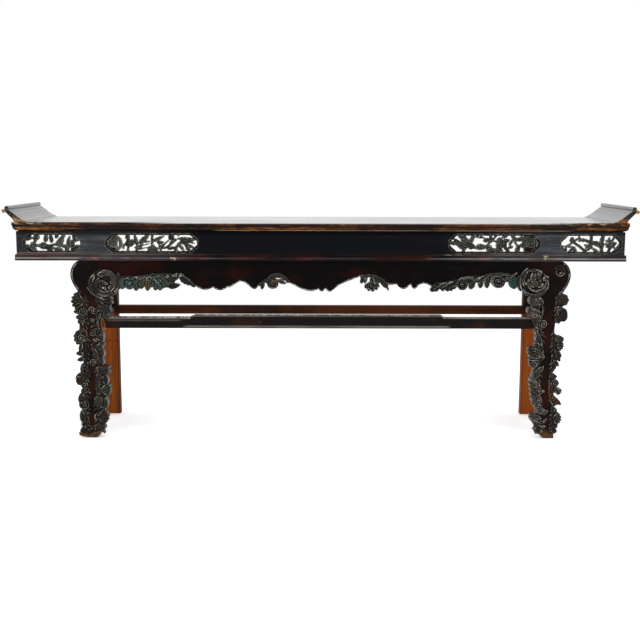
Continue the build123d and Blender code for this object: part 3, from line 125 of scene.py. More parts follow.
# ---------------------------------------------------------------- paints, linear colour
GREY = (0.0301, 0.0293, 0.0251)
DIM = (0.0117, 0.0109, 0.0100)
PALE = (0.0686, 0.0653, 0.0552)
TEAL = (0.0243, 0.0702, 0.0607)
LICHEN = (0.0513, 0.0729, 0.0621)
GREEN = (0.0446, 0.0607, 0.0324)
OCHRE = (0.109, 0.0653, 0.0251)
RED = (0.134, 0.0217, 0.0134)
ORANGE = (0.405, 0.115, 0.0203)
MAUVE = (0.0711, 0.0586, 0.0586)
SILVER = (0.135, 0.124, 0.108)
BROWN = (0.230, 0.103, 0.0446)
LEAF_TONES = (GREY, DIM, GREY, MAUVE, PALE)


def at(u, v, y=CARVED_Y):
    """X and Z of a pixel of the photograph on the upright plane y."""
    focal = FOCAL / SENSOR * FRAME_PIXELS
    du, dv = u - FRAME_PIXELS / 2, v - FRAME_PIXELS / 2
    du, dv = (du * math.cos(CAMERA_ROLL) + dv * math.sin(CAMERA_ROLL),
              dv * math.cos(CAMERA_ROLL) - du * math.sin(CAMERA_ROLL))
    distance = y - CAMERA_PLACE[1] * 1000
    drop = distance * math.tan(CAMERA_PITCH + math.atan(dv / focal))
    depth = distance * math.cos(CAMERA_PITCH) + drop * math.sin(CAMERA_PITCH)
    return du / focal * depth, CAMERA_PLACE[2] * 1000 - drop


# ---------------------------------------------------------------- relief carving
def value_noise(x, z, size, seed):
    """Smooth unevenness between -1 and 1, with swells of the given size."""
    rows, columns = 61, 67
    table = np.random.RandomState(seed).uniform(-1, 1, (rows, columns))
    i, j = np.floor(x / size).astype(int), np.floor(z / size).astype(int)
    s, t = x / size - i, z / size - j
    s, t = s * s * (3 - 2 * s), t * t * (3 - 2 * t)

    def knot(a, b):
        return table[a % rows, b % columns]

    low = knot(i, j) * (1 - s) + knot(i + 1, j) * s
    high = knot(i, j + 1) * (1 - s) + knot(i + 1, j + 1) * s
    return low * (1 - t) + high * t


def blurred(field, cells):
    """Field averaged over a square, twice."""
    for axis in (0, 1, 0, 1):
        pad = [(0, 0), (0, 0)]
        pad[axis] = (cells + 1, cells)
        total = np.cumsum(np.pad(field, pad, mode="edge"), axis=axis)
        count = field.shape[axis]
        high = np.take(total, range(2 * cells + 1, 2 * cells + 1 + count), axis=axis)
        low = np.take(total, range(0, count), axis=axis)
        field = (high - low) / (2 * cells + 1)
    return field


def line_distance(x, z, points):
    """Distance to a bent line."""
    best = np.full(x.shape, 1e9)
    for (ax, az), (bx, bz) in zip(points[:-1], points[1:]):
        dx, dz = bx - ax, bz - az
        t = np.clip(((x - ax) * dx + (z - az) * dz) / (dx * dx + dz * dz + 1e-9), 0, 1)
        best = np.minimum(best, np.hypot(x - ax - t * dx, z - az - t * dz))
    return best


def outline_distance(x, z, points):
    """Distance to a closed outline, above zero inside it."""
    ring = list(points) + [points[0]]
    inside = np.zeros(x.shape, dtype=bool)
    for (ax, az), (bx, bz) in zip(ring[:-1], ring[1:]):
        if az == bz:
            continue
        crosses = (az > z) != (bz > z)
        inside ^= crosses & (x < ax + (z - az) * (bx - ax) / (bz - az))
    return np.where(inside, 1, -1) * line_distance(x, z, ring)


def smooth_line(points, parts=6):
    """Points on a smooth line through the given ones."""
    if len(points) < 3:
        return list(points)

    def between(p, q, r, s, t):
        return 0.5 * (2 * q + (r - p) * t + (2 * p - 5 * q + 4 * r - s) * t * t
                      + (3 * q - p - 3 * r + s) * t ** 3)

    padded = [points[0]] + list(points) + [points[-1]]
    line = []
    for knots in zip(padded[:-3], padded[1:-2], padded[2:-1], padded[3:]):
        for step in range(parts):
            line.append(tuple(between(*along, step / parts) for along in zip(*knots)))
    return line + [points[-1]]


def cut_cells(corner, edge):
    """Faces of the grid cells inside an outline, and the stretches of the outline that close them."""
    flag = [c >= 0 for c in corner]
    case = flag[0] * 1 + flag[1] * 2 + flag[2] * 4 + flag[3] * 8
    faces, walls = [], []
    for kind in range(1, 16):
        where = case == kind
        if not where.any():
            continue
        loop = []
        for k in range(4):
            here, after = bool(kind >> k & 1), bool(kind >> ((k + 1) % 4) & 1)
            if here:
                loop.append((corner[k][where], None))
            if here != after:
                loop.append((edge[k][where], here))
        faces += np.stack([ring for ring, _ in loop], axis=1).tolist()
        for (a, leaves), (b, _) in zip(loop, loop[1:] + loop[:1]):
            if leaves:
                walls += np.stack([a, b], axis=1).tolist()
    return faces, walls


class Relief:
    """Carving seen from the front. Forms lie one over the other, each with its place, height and paint."""

    # which values of a form's row are lengths; the first two are its place
    LENGTHS = {"leaf": (3, 4), "bud": (2, 3), "curl": (2,), "flower": (2,), "fan": (2,), "arc": (2, 3)}

    def __init__(self, low, high, step, seed=1):
        self.step = step
        self.x, self.z = np.meshgrid(np.arange(low[0], high[0], step),
                                     np.arange(low[1], high[1], step), indexing="ij")
        self.inside = np.full(self.x.shape, -60.0)
        self.height = np.zeros(self.x.shape)
        self.paint = np.zeros(self.x.shape + (3,))

        def swells(size, more):
            return value_noise(self.x, self.z, size, seed + more)

        self.ragged = swells(5.0, 0) * 0.6 + swells(2.3, 1) * 0.3
        self.gouge = 0.5 - np.abs(swells(6.5, 2)) - 0.5 * np.abs(swells(3.4, 3))

    def lay(self, inside, height, paint, groove=1.8, cut=3.5):
        """Puts a form on top of what is there, with a cut groove round it."""
        inside = inside + self.ragged
        over = inside > 0
        near = np.clip(1 + inside / groove, 0, 1) * (~over) * (self.inside > 0)
        self.height = self.height - cut * near
        take = over | ((self.inside <= 0) & (inside > self.inside))
        self.height = np.where(take, height, self.height)
        self.paint[take] = paint
        self.inside = np.maximum(self.inside, inside)

    def local(self, x, z, angle):
        """Grid seen from a place, turned."""
        c, s = math.cos(math.radians(angle)), math.sin(math.radians(angle))
        dx, dz = self.x - x, self.z - z
        return dx * c + dz * s, dz * c - dx * s

    def polar(self, x, z, angle):
        """Distance and direction of each grid point from a place."""
        u, v = self.local(x, z, angle)
        return np.hypot(u, v), np.arctan2(v, u)

    def leaf(self, x, z, angle, length, width, paint=GREY, lift=2.5, thick=8.0, bend=0.0,
             veins=0, vein=0.45, tip=0.6):
        """Pointed leaf with a middle vein; bend bows it to its left, in parts of its length."""
        u, v = self.local(x, z, angle)
        t = u / (length / 2)
        v = v + bend * length * (t * t - 0.5)
        body = np.clip(1 - t * t, 0, 1)
        half = np.maximum(width / 2 * body ** tip * (1 - 0.22 * t), 1e-3)
        if veins:
            half = half * (1 + 0.10 * np.cos(math.pi * veins * (t + 1)))
        inside = np.where(np.abs(t) < 1, half - np.abs(v), -np.hypot(np.abs(u) - length / 2, v))
        across = np.clip(np.abs(v) / half, 0, 1)
        profile = (1 - vein) * np.sqrt(1 - across ** 2) + vein * np.sin(math.pi * across ** 0.8)
        if veins:
            profile = profile + 0.22 * np.cos(math.pi * veins * (t + 1) - 2.2 * across) * across
        height = lift + thick * (0.4 + 0.6 * profile * (1 - 0.3 * np.clip(t, -1, 1) ** 2))
        self.lay(inside, height, paint)

    def bud(self, x, z, rx, rz, paint=GREY, lift=3.0, thick=8.0):
        """Smooth round boss."""
        u, v = self.local(x, z, 0)
        r = np.hypot(u / rx, v / rz)
        height = lift + thick * (0.35 + 0.65 * np.sqrt(np.clip(1 - r * r, 0, 1)))
        self.lay((1 - r) * min(rx, rz), height, paint)

    def curl(self, x, z, radius, paint=GREY, start=0, hand=1, turns=1.5, lift=3.0, thick=8.0):
        """Rolled end of a scroll: a ridge that winds in to a small heart."""
        r, a = self.polar(x, z, 0)
        pitch = radius / (turns + 0.35)
        phase = r / pitch - hand * (a - math.radians(start)) / (2 * math.pi)
        ridge = 0.5 + 0.5 * np.cos(2 * math.pi * (phase - 0.1))
        ridge = np.where(r < 0.42 * pitch, 1.0, ridge)
        height = lift + thick * (0.30 + 0.70 * ridge * (1 - 0.25 * (r / radius) ** 2))
        self.lay(radius - r, height, paint)

    def flower(self, x, z, radius, petals, paint=GREY, turn=0, lift=2.5, thick=9.0):
        """Round flower with two rings of petals and a heart."""
        r, a = self.polar(x, z, turn)
        outer = np.sqrt(np.abs(np.cos(petals * a / 2)))
        inner = np.sqrt(np.abs(np.sin(petals * a / 2)))
        edge = radius * (0.80 + 0.20 * outer)
        t = np.clip(r / edge, 0, 1.5)
        ring = outer * np.sin(math.pi * np.clip((t - 0.3) / 0.7, 0, 1) ** 0.8)
        profile = np.where(t > 0.58 * (0.75 + 0.25 * inner), 0.25 + 0.45 * ring, 0.45 + 0.45 * inner)
        profile = np.where(t < 0.2, 1.0, profile)
        self.lay(edge - r, lift + thick * profile, paint)

    def fan(self, x, z, radius, angle, spread, ribs, paint=GREY, lift=2.5, thick=8.5):
        """Ruffled leaf opened out from its root."""
        r, a = self.polar(x, z, angle)
        s = np.clip(a / math.radians(spread / 2), -1, 1)
        lobe = np.sqrt(np.abs(np.sin(math.pi * ribs * (s + 1) / 2)))
        edge = radius * (1 - 0.12 * s * s) * (0.80 + 0.20 * lobe)
        side = (math.radians(spread / 2) - np.abs(a)) * r
        inside = np.maximum(np.minimum(edge - r, side), 0.22 * radius - r)
        t = np.clip(r / edge, 0, 1)
        height = lift + thick * (0.25 + 0.75 * lobe * (0.45 + 0.55 * np.sin(math.pi * t ** 1.4)))
        self.lay(inside, height, paint)

    def stem(self, points, width, paint=GREY, lift=2.0, thick=7.0, groove=0.0):
        """Round stem along a smooth line; groove cuts a line along its middle."""
        d = line_distance(self.x, self.z, smooth_line(points))
        t = np.clip(d / (width / 2), 0, 1)
        profile = np.sqrt(1 - t * t) - groove * np.clip(1 - 3 * t, 0, 1)
        self.lay(width / 2 - d, lift + thick * (0.35 + 0.65 * profile), paint)

    def frill(self, points, width, paint=DIM, lift=0.0, thick=6.0, spacing=9.0):
        """Stem hidden under small overlapping leaves."""
        self.stem(points, width * 0.5, paint, lift, thick * 0.6)
        line = np.array(smooth_line(points, 12))
        run = np.concatenate([[0], np.cumsum(np.hypot(*np.diff(line, axis=0).T))])

        def on_line(place):
            return np.array([np.interp(place, run, line[:, 0]), np.interp(place, run, line[:, 1])])

        for number, place in enumerate(np.arange(spacing / 2, run[-1], spacing)):
            x, z = on_line(place)
            ahead, above = on_line(place + 2) - on_line(place - 2)
            side = 1 if number % 2 else -1
            lean = 42 + 22 * math.sin(number * 2.4)
            reach = width * (0.28 + 0.06 * math.sin(number * 3.7))
            turn = math.degrees(math.atan2(above, ahead)) + side * lean
            angle = math.radians(turn)
            self.leaf(x + reach * math.cos(angle), z + reach * math.sin(angle), turn, width * 0.72,
                      spacing * 0.95, paint, lift + 0.6 * math.sin(number * 5.1), thick, bend=0.1 * side)

    def arc(self, x, z, outer, inner, start, end, paint=GREY, lift=2.5, thick=8.0, taper=0.6):
        """Curved petal: part of a ring, thinner at its ends."""
        middle, half = (outer + inner) / 2, (outer - inner) / 2
        r, a = self.polar(x, z, (start + end) / 2)
        reach = math.radians((end - start) / 2)
        half = half * (1 - taper * np.clip(np.abs(a) / reach, 0, 1) ** 2)
        beyond = np.clip(np.abs(a) - reach, 0, None) * middle
        d = np.hypot(beyond, r - middle)
        profile = np.sqrt(1 - np.clip(d / half, 0, 1) ** 2)
        self.lay(half - d, lift + thick * (0.35 + 0.65 * profile), paint)

    def pixels(self, forms):
        """Lays forms whose places and sizes are read in pixels of the photograph."""
        for kind, *values in forms:
            options = values.pop() if isinstance(values[-1], dict) else {}
            if kind in self.LENGTHS:
                values[:2] = at(values[0], values[1])
                for number in self.LENGTHS[kind]:
                    values[number] *= PIXEL
            else:
                values[0] = [at(u, v) for u, v in values[0]]
                values[1] *= PIXEL
            getattr(self, kind)(*values, **options)

    def mesh(self, name, front, back, gouges=2.2, rim=0.8, spread=2.4, contrast=6.0):
        """Closed mesh whose front follows the relief. back is one depth, or one for each grid point. The
        paint's alpha is the ridge; rim lowers the ground round the forms, so that their outlines are ridges
        that the carving paints pale as highlight.
        """
        inside = self.inside.copy()
        inside[0, :] = inside[-1, :] = inside[:, 0] = inside[:, -1] = -1.0
        nx, nz = inside.shape
        height = self.height + 0.35 * self.ragged + gouges * self.gouge
        lowered = np.where(inside > -1.0, height, height - rim)
        ridge = height - blurred(lowered, max(1, round(spread / self.step)))
        back = np.broadcast_to(np.asarray(back, dtype=float), inside.shape)
        fields = [self.x, self.z, front - height, back, ridge] + [self.paint[:, :, k] for k in range(3)]
        solid = inside > 0
        number = np.full(inside.shape, -1)
        number[solid] = np.arange(solid.sum())
        columns = [[f[solid]] for f in fields]
        count = int(solid.sum())
        edge_number = []
        for a, b in (((slice(0, nx - 1), slice(None)), (slice(1, nx), slice(None))),
                     ((slice(None), slice(0, nz - 1)), (slice(None), slice(1, nz)))):
            crossing = solid[a] != solid[b]
            t = inside[a][crossing] / (inside[a][crossing] - inside[b][crossing])
            t = np.clip(t, 0.03, 0.97)
            for column, f in zip(columns, fields):
                column.append(f[a][crossing] * (1 - t) + f[b][crossing] * t)
            numbers = np.full(crossing.shape, -1)
            numbers[crossing] = count + np.arange(crossing.sum())
            count += int(crossing.sum())
            edge_number.append(numbers)
        x, z, front_y, back_y, ridge, red, green, blue = [np.concatenate(c) for c in columns]
        corner = [number[:-1, :-1], number[1:, :-1], number[1:, 1:], number[:-1, 1:]]
        along, up = edge_number
        faces, walls = cut_cells(corner, [along[:, :-1], up[1:, :], along[:, 1:], up[:-1, :]])
        back_y = np.maximum(back_y, front_y + 1.0)
        front_points, back_points = [np.stack([x, y, z], axis=1) for y in (front_y, back_y)]
        points = np.concatenate([front_points, back_points]) * 0.001
        sides = [(b, a, a + count, b + count) for a, b in walls]
        behind = [[i + count for i in reversed(f)] for f in faces]
        mesh = bpy.data.meshes.new(name)
        mesh.from_pydata(points.tolist(), [], faces + sides + behind)
        flat = len(sides) + len(behind)
        mesh.polygons.foreach_set("use_smooth", [True] * len(faces) + [False] * flat)
        strength = np.clip(0.5 + ridge / contrast, 0, 1)
        colour = np.stack([red, green, blue, strength], axis=1)
        attribute = mesh.attributes.new("paint", "FLOAT_COLOR", "POINT")
        attribute.data.foreach_set("color", np.concatenate([colour, colour * [1, 1, 1, 0.7]]).ravel())
        mesh.update()
        return mesh


def relief_box(forms, margin=6.0):
    """Low and high corner round everything that a list of forms may cover."""
    low, high = np.array([1e9, 1e9]), np.array([-1e9, -1e9])
    for kind, *values in forms:
        if kind in Relief.LENGTHS:
            places = [(values[0], values[1])]
            reach = max(values[number] for number in Relief.LENGTHS[kind])
            reach = reach / 2 + 1 if kind == "leaf" else reach
        else:
            places, reach = values[0], values[1]
        for u, v in places:
            centre = np.array(at(u, v))
            low = np.minimum(low, centre - reach * PIXEL - margin)
            high = np.maximum(high, centre + reach * PIXEL + margin)
    return tuple(low), tuple(high)


def face_outline(node, y=LEG_FACE):
    """Longest edge loop round the node's flat face at y, in mm."""
    mesh = frame["nodes"][node].data

    def key(number):
        """Place of a vertex in whole hundredths of a mm."""
        place = mesh.vertices[number].co
        return round(place.x * 1e5), round(place.z * 1e5)

    after = {}
    directed = set()
    for polygon in mesh.polygons:
        if polygon.normal.y < -0.99 and abs(polygon.center.y * 1000 - y) < 0.2:
            ring = [key(i) for i in polygon.vertices]
            directed |= set(zip(ring, ring[1:] + ring[:1]))
    for a, b in directed:
        if (b, a) not in directed:
            after[a] = b
    loops = []
    while after:
        a, b = after.popitem()
        loop = [a]
        while b != a and b in after:
            loop.append(b)
            b = after.pop(b)
        loops.append([(px / 100, pz / 100) for px, pz in loop])
    return max(loops, key=len)


def show(name, mesh, material, slot, *nodes):
    """Puts a mesh on the table as a piece, in place of the CAD nodes named."""
    piece = bpy.data.objects.new(name, mesh)
    bpy.context.collection.objects.link(piece)
    mesh.materials.append(material)
    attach(piece, "root")
    if nodes:
        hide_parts(*nodes)
    return piece


def half_round(name, points, radius, y, rise, material):
    """Half-round bead, a piece of its own, laid on the plane y along a line of points."""
    line = np.array(points)
    step = np.gradient(line, axis=0)
    step /= np.linalg.norm(step, axis=1)[:, None]
    side = np.stack([-step[:, 1], step[:, 0]], axis=1)
    parts, sunk = 8, 1.0
    vertices, faces = [], []
    for (px, pz), (sx, sz) in zip(line, side):
        for k in range(parts + 1):
            a = math.pi * k / parts
            out = math.cos(a) * radius
            proud = (rise + sunk) * math.sin(a)
            vertices.append(((px + sx * out) / 1000, (y + sunk - proud) / 1000, (pz + sz * out) / 1000))
    width = parts + 1
    for i in range(len(line) - 1):
        for k in range(parts):
            a = i * width + k
            faces.append((a, a + width, a + width + 1, a + 1))
        faces.append((i * width + parts, (i + 1) * width + parts, (i + 1) * width, i * width))
    faces.append(tuple(range(parts + 1)))
    faces.append(tuple((len(line) - 1) * width + k for k in range(parts, -1, -1)))
    mesh = bpy.data.meshes.new(name)
    mesh.from_pydata(vertices, [], faces)
    mesh.validate()
    mesh.polygons.foreach_set("use_smooth", [len(f) == 4 for f in faces])
    mesh.update()
    show(name, mesh, material, "black_lacquer")


# ---------------------------------------------------------------- materials
GRAIN_X = (0.06, 1, 1)
GRAIN_Z = (1, 1, 0.06)
FRIEZE_GLOSS = 0.36
STRETCHER_GLOSS = 0.05
FLANGE_GLOSS = 0.5
FLANGE_COAT = 0.45
TOP_COAT = 0.70              # polish of the top, on its panel and its frame
TOP_COAT_ROUGHNESS = 0.16
BLUE_BLACK = (0.0031, 0.0034, 0.0046)
RED_GROUND = (0.0163, 0.0053, 0.0038)
WORN = (0.149, 0.119, 0.0891)
RUST = (0.0459, 0.0108, 0.0068)
# pale colours of the lines painted as highlights on the frieze moulding and on the stretcher
BEAD_PAINTED_HIGHLIGHT = (0.351, 0.317, 0.304)
ARRIS_PAINTED_HIGHLIGHT = (0.189, 0.142, 0.128)
BAND_PAINTED_HIGHLIGHT = (0.203, 0.182, 0.155)
SCRAPED = (0.149, 0.115, 0.108)
BARE_FOOT = (0.111, 0.0535, 0.0252)
OLD_WOOD = (0.119, 0.0386, 0.0119)
FOOT_OCHRE = (0.620, 0.340, 0.120)
DUST = (0.567, 0.459, 0.324)
# pale stripe painted as a highlight along the upper arris of the top's edge
CREST_PAINTED_HIGHLIGHT = (0.640, 0.630, 0.620)
LIP_WOOD = (0.378, 0.203, 0.0810)

# X of the middle, half length, low and high Z, tone
FRIEZE_CHIPS = (
    (0.925, 0.006, 0.757, 0.777, (0.405, 0.311, 0.176)),
    (-0.935, 0.022, 0.752, 0.762, (0.176, 0.0297, 0.0135)),
    (-0.603, 0.012, 0.754, 0.762, (0.486, 0.419, 0.324)),
    (0.545, 0.035, 0.7735, 0.7760, (0.162, 0.108, 0.0810)),
)
# pale bands painted as highlights on the stretcher: left and right X, low and high Z, strength
STRETCHER_HIGHLIGHT_BANDS = (
    (-0.55, 0.52, 0.4695, 0.4765, 0.8),
    (-0.90, -0.56, 0.5050, 0.5115, 0.8),
    (0.53, 0.90, 0.5080, 0.5140, 0.9),
    (-0.90, -0.60, 0.4960, 0.5005, 0.35),
    (-0.53, 0.50, 0.5150, 0.5210, 0.55),
)


class Nodes:
    """Shader nodes in the making. A value may be a number, a colour or another node's output."""

    def __init__(self, tree):
        self.tree = tree

    def new(self, kind, sockets=(), **settings):
        """New node with its settings and what its sockets are given."""
        node = self.tree.nodes.new("ShaderNode" + kind)
        for key, value in settings.items():
            setattr(node, key, value)
        for key, value in dict(sockets).items():
            self.join(value, node.inputs[key])
        return node

    def join(self, value, socket):
        if isinstance(value, bpy.types.NodeSocket):
            self.tree.links.new(value, socket)
        elif isinstance(value, tuple) and len(value) == 3 and len(socket.default_value) == 4:
            socket.default_value = value + (1.0,)
        else:
            socket.default_value = value

    def math(self, operation, a, b=0.0, clamp=False):
        return self.new("Math", {0: a, 1: b}, operation=operation, use_clamp=clamp).outputs[0]

    def chain(self, operation, values):
        """Values taken together, one after the other."""
        result = values[0]
        for value in values[1:]:
            result = self.math(operation, result, value)
        return result

    def times(self, *values):
        return self.chain("MULTIPLY", values)

    def most(self, *values):
        """Largest of the values."""
        return self.chain("MAXIMUM", values)

    def plus(self, *values):
        return self.chain("ADD", values)

    def ramp(self, value, low, high, to_low=0.0, to_high=1.0, kind="SMOOTHSTEP"):
        """Value moved from one range to another."""
        sockets = {"Value": value, "From Min": low, "From Max": high, "To Min": to_low, "To Max": to_high}
        return self.new("MapRange", sockets, interpolation_type=kind).outputs["Result"]

    def seen(self):
        """One for rays of the camera, of reflections and through glass."""
        path = self.new("LightPath").outputs
        return self.most(path["Is Camera Ray"], path["Is Glossy Ray"], path["Is Transmission Ray"])


class Finish(Nodes):
    """A procedural material. Places are metres in the table's own frame."""

    def __init__(self, name, specular=0.5, coat=0.0, coat_roughness=0.1):
        self.material = bpy.data.materials.new(name)
        self.material.use_nodes = True
        super().__init__(self.material.node_tree)
        self.set("Specular IOR Level", specular)
        self.set("Coat Weight", coat)
        self.set("Coat Roughness", coat_roughness)
        self.place = self.new("TexCoord").outputs["Object"]
        self.x, self.y, self.z = self.new("SeparateXYZ", {0: self.place}).outputs

    def set(self, name, value):
        """Gives the shader's own socket a value."""
        self.join(value, self.tree.nodes["Principled BSDF"].inputs[name])

    def out(self):
        """Distance from the middle of the table along X."""
        return self.math("ABSOLUTE", self.x)

    def noise(self, scale, detail=4.0, stretch=(1, 1, 1), rough=0.55, shift=(0, 0, 0)):
        mapping = self.new("Mapping", {"Scale": stretch, "Location": shift, "Vector": self.place})
        sockets = {"Scale": scale, "Detail": detail, "Roughness": rough, "Vector": mapping.outputs[0]}
        return self.new("TexNoise", sockets).outputs["Fac"]

    def within(self, value, low, high, soft):
        """One between low and high, falling to nothing over soft on each side."""
        return self.times(self.ramp(value, low - soft, low), self.ramp(value, high, high + soft, 1.0, 0.0))

    def zone(self, left, right, side_soft, low, high, soft):
        """One between two X and two Z."""
        return self.times(self.within(self.x, left, right, side_soft), self.within(self.z, low, high, soft))

    def mix(self, factor, a, b):
        return self.new("Mix", {0: factor, 6: a, 7: b}, data_type="RGBA").outputs[2]

    def edges(self, radius, low=0.02, high=0.25):
        """One on the arrises of the wood, nothing on its flat faces."""
        bevel = self.new("Bevel", {"Radius": radius}, samples=4)
        normal = self.new("NewGeometry").outputs["Normal"]
        dot = self.new("VectorMath", {0: bevel.outputs[0], 1: normal}, operation="DOT_PRODUCT")
        return self.ramp(self.math("SUBTRACT", 1.0, dot.outputs["Value"]), low, high)

    def turned(self, axis):
        """How far a face is turned along X, Y or Z."""
        return self.new("SeparateXYZ", {0: self.new("NewGeometry").outputs["Normal"]}).outputs[axis]

    def bump(self, height, distance, strength, normal=None):
        sockets = {"Distance": distance, "Strength": strength, "Height": height}
        if normal is not None:
            sockets["Normal"] = normal
        return self.new("Bump", sockets).outputs[0]

    def done(self, colour, roughness, normal):
        self.set("Base Color", colour)
        self.set("Roughness", roughness)
        self.set("Normal", normal)
        return self.material


class Lacquer(Finish):
    """Old lacquer over wood: dark, with the red ground showing through and pale rubbed arrises."""

    def __init__(self, name, gloss, grain=GRAIN_X):
        super().__init__(name, specular=gloss)
        self.grain = grain
        self.patches = self.noise(5.0, 5, (1, 1, 1.6))
        self.streaks = self.noise(90.0, 6, grain)

    def ground(self, base, under, red):
        """Dark coat whose ground shows where red is high."""
        colour = self.mix(red, base, under)
        bright = tuple(c * 1.8 for c in under)
        return self.mix(self.ramp(self.streaks, 0.60, 0.80, 0.0, 0.30), colour, bright)

    def rubbed(self, colour, wear, roughness, worn=WORN):
        """Colour with rubbed arrises, chips and scuffs, and the roughness that goes with it."""
        uneven = self.ramp(self.noise(34.0, 5), 0.42, 0.64, 0.05 * wear, 0.7 * wear)
        arris = self.times(self.edges(0.0009, 0.0446, 0.223), uneven)
        chips = self.ramp(self.noise(75.0, 4, (0.35, 1, 1), 0.7, (3, 1, 2)), 0.735, 0.765)
        scuffs = self.times(self.ramp(self.noise(14.0, 8, self.grain, 0.7), 0.62, 0.70), 0.10 * wear)
        mark = self.math("MAXIMUM", self.most(arris, self.times(chips, 0.6 * wear)), scuffs, clamp=True)
        cloudy = self.ramp(self.noise(18.0, 6), 0.3, 0.7, roughness - 0.05, roughness + 0.08)
        return self.mix(mark, colour, worn), self.plus(cloudy, self.times(mark, 0.3))

    def finished(self, colour, rough):
        waves = self.bump(self.noise(9.0, 3), 0.004, 0.25)
        return self.done(colour, rough, self.bump(self.streaks, 0.0006, 0.25, waves))


def frieze_wear_and_highlights(f, colour):
    """Rust, pale lines painted as highlights along the moulding and stronger towards the ends, scraped
    lacquer and chips over the frieze and its moulding.
    """
    broken = f.ramp(f.noise(30.0, 5, (0.12, 1, 1), 0.6, (2, 4, 1)), 0.36, 0.56)
    ends = f.ramp(f.out(), 0.35, 0.80, 0.12, 1.0)
    scraped = f.times(f.within(f.z, 0.7785, 0.7830, 0.001), f.ramp(f.x, -0.95, -1.02))
    colour = f.mix(f.times(scraped, f.ramp(f.streaks, 0.40, 0.58, 0.1, 0.7)), colour, SCRAPED)
    rust = f.times(f.ramp(f.patches, 0.44, 0.60), f.within(f.z, 0.752, 0.772, 0.001))
    end_rust = f.times(f.within(f.z, 0.763, 0.777, 0.001), f.ramp(f.x, -0.92, -1.02))
    colour = f.mix(f.times(f.most(rust, end_rust), f.ramp(broken, 0.2, 1.0, 0.1, 0.6)), colour, RUST)
    # painted highlight: a broken pale line along the bead of the moulding, stronger towards the ends
    bead = f.times(f.within(f.z, 0.7575, 0.7610, 0.0012), broken, ends, 0.8)
    colour = f.mix(bead, colour, BEAD_PAINTED_HIGHLIGHT)
    # painted highlight: a broken pale line along the upper arris of the moulding
    arris = f.times(f.within(f.z, 0.7728, 0.7755, 0.0006), broken, 0.5, ends)
    colour = f.mix(arris, colour, ARRIS_PAINTED_HIGHLIGHT)
    fleck = f.noise(150.0, 3)
    for middle, half, low, high, tone in FRIEZE_CHIPS:
        spot = f.zone(middle - half, middle + half, 0.006, low, high, 0.002)
        colour = f.mix(f.times(spot, f.ramp(fleck, 0.44, 0.52)), colour, tone)
    return colour


def frieze_sheen(f):
    """Specular level of the frieze: low in its middle, under the top and over the moulding."""
    out = f.out()
    ends = f.ramp(out, 0.35, 0.80, 0.12, 1.0)
    shade = f.most(f.times(f.within(f.z, 0.7660, 0.7765, 0.002), f.ramp(ends, 0.0, 1.0, 1.0, 0.35)),
                   f.times(f.within(f.z, 0.748, 0.7765, 0.002), f.ramp(ends, 0.0, 1.0, 0.35, 0.0)),
                   f.ramp(f.z, 0.8520, 0.8600))
    sheen = f.times(f.ramp(out, 0.45, 0.85, 0.16 * FRIEZE_GLOSS, FRIEZE_GLOSS),
                    f.ramp(out, 1.02, 1.20, 1.0, 0.6))
    return f.times(sheen, f.ramp(shade, 0.0, 1.0, 1.0, 0.35))


def frieze_lacquer():
    """Frieze and moulding: blue-black, red along the foot, brushed towards the ends."""
    f = Lacquer("frieze lacquer", FRIEZE_GLOSS)
    red_foot = f.times(f.ramp(f.z, 0.790, 0.765), f.ramp(f.patches, 0.30, 0.60))
    red = f.most(f.ramp(f.patches, 0.62, 0.84), red_foot)
    colour = f.ground(BLUE_BLACK, RED_GROUND, red)
    colour, rough = f.rubbed(colour, 0.5, 0.20)
    low = f.times(f.ramp(f.z, 0.7742, 0.7738), f.ramp(f.z, 0.764, 0.762, 0.22, 0.0))
    strokes = f.ramp(f.noise(60.0, 5, (0.10, 1, 1.3), 0.6, (3, 0, 5)), 0.38, 0.60, -0.05, 0.26)
    rough = f.plus(rough, low, f.times(strokes, f.ramp(f.out(), 0.55, 0.85)))
    f.set("Specular IOR Level", frieze_sheen(f))
    f.set("Specular Tint", (0.86, 0.92, 1.0))
    return f.finished(frieze_wear_and_highlights(f, colour), rough)


def apron_lacquer():
    """Apron: dark, redder at its left end."""
    f = Lacquer("apron lacquer", 0.02)
    red_end = f.times(f.ramp(f.x, -0.60, -0.70), f.ramp(f.patches, 0.30, 0.52, 0.35, 1.0))
    red = f.most(f.ramp(f.patches, 0.50, 0.72), red_end)
    colour = f.ground((0.0041, 0.0034, 0.0035), (0.0203, 0.0049, 0.0038), red)
    return f.finished(*f.rubbed(colour, 0.7, 0.28))


def leg_lacquer():
    """Front legs: reddish, with painted shade making them darker above, bare at the feet and rubbed along one
    strip.
    """
    f = Lacquer("leg lacquer", 0.035, GRAIN_Z)
    red = f.ramp(f.patches, 0.42, 0.64)
    colour = f.ground((0.0057, 0.0038, 0.0034), (0.0297, 0.0070, 0.0054), red)
    # painted shade: the legs darker above Z 0.56 to 0.66, over the ears and the tops of the posts
    colour = f.mix(f.ramp(f.z, 0.56, 0.66, 0.0, 0.55), colour, (0.0030, 0.0022, 0.0021))
    height = f.plus(f.z, f.times(f.patches, 0.04))
    bare = f.times(f.ramp(height, 0.062, 0.040), f.ramp(f.streaks, 0.25, 0.60, 0.4, 1.0))
    colour = f.mix(bare, colour, BARE_FOOT)
    strip = f.times(f.zone(-0.966, -0.962, 0.002, 0.16, 0.36, 0.04),
                    f.ramp(f.patches, 0.46, 0.54, 0.0, 0.35), f.ramp(f.streaks, 0.35, 0.55))
    colour = f.mix(strip, colour, OLD_WOOD)
    return f.finished(*f.rubbed(colour, 1.0, 0.28))


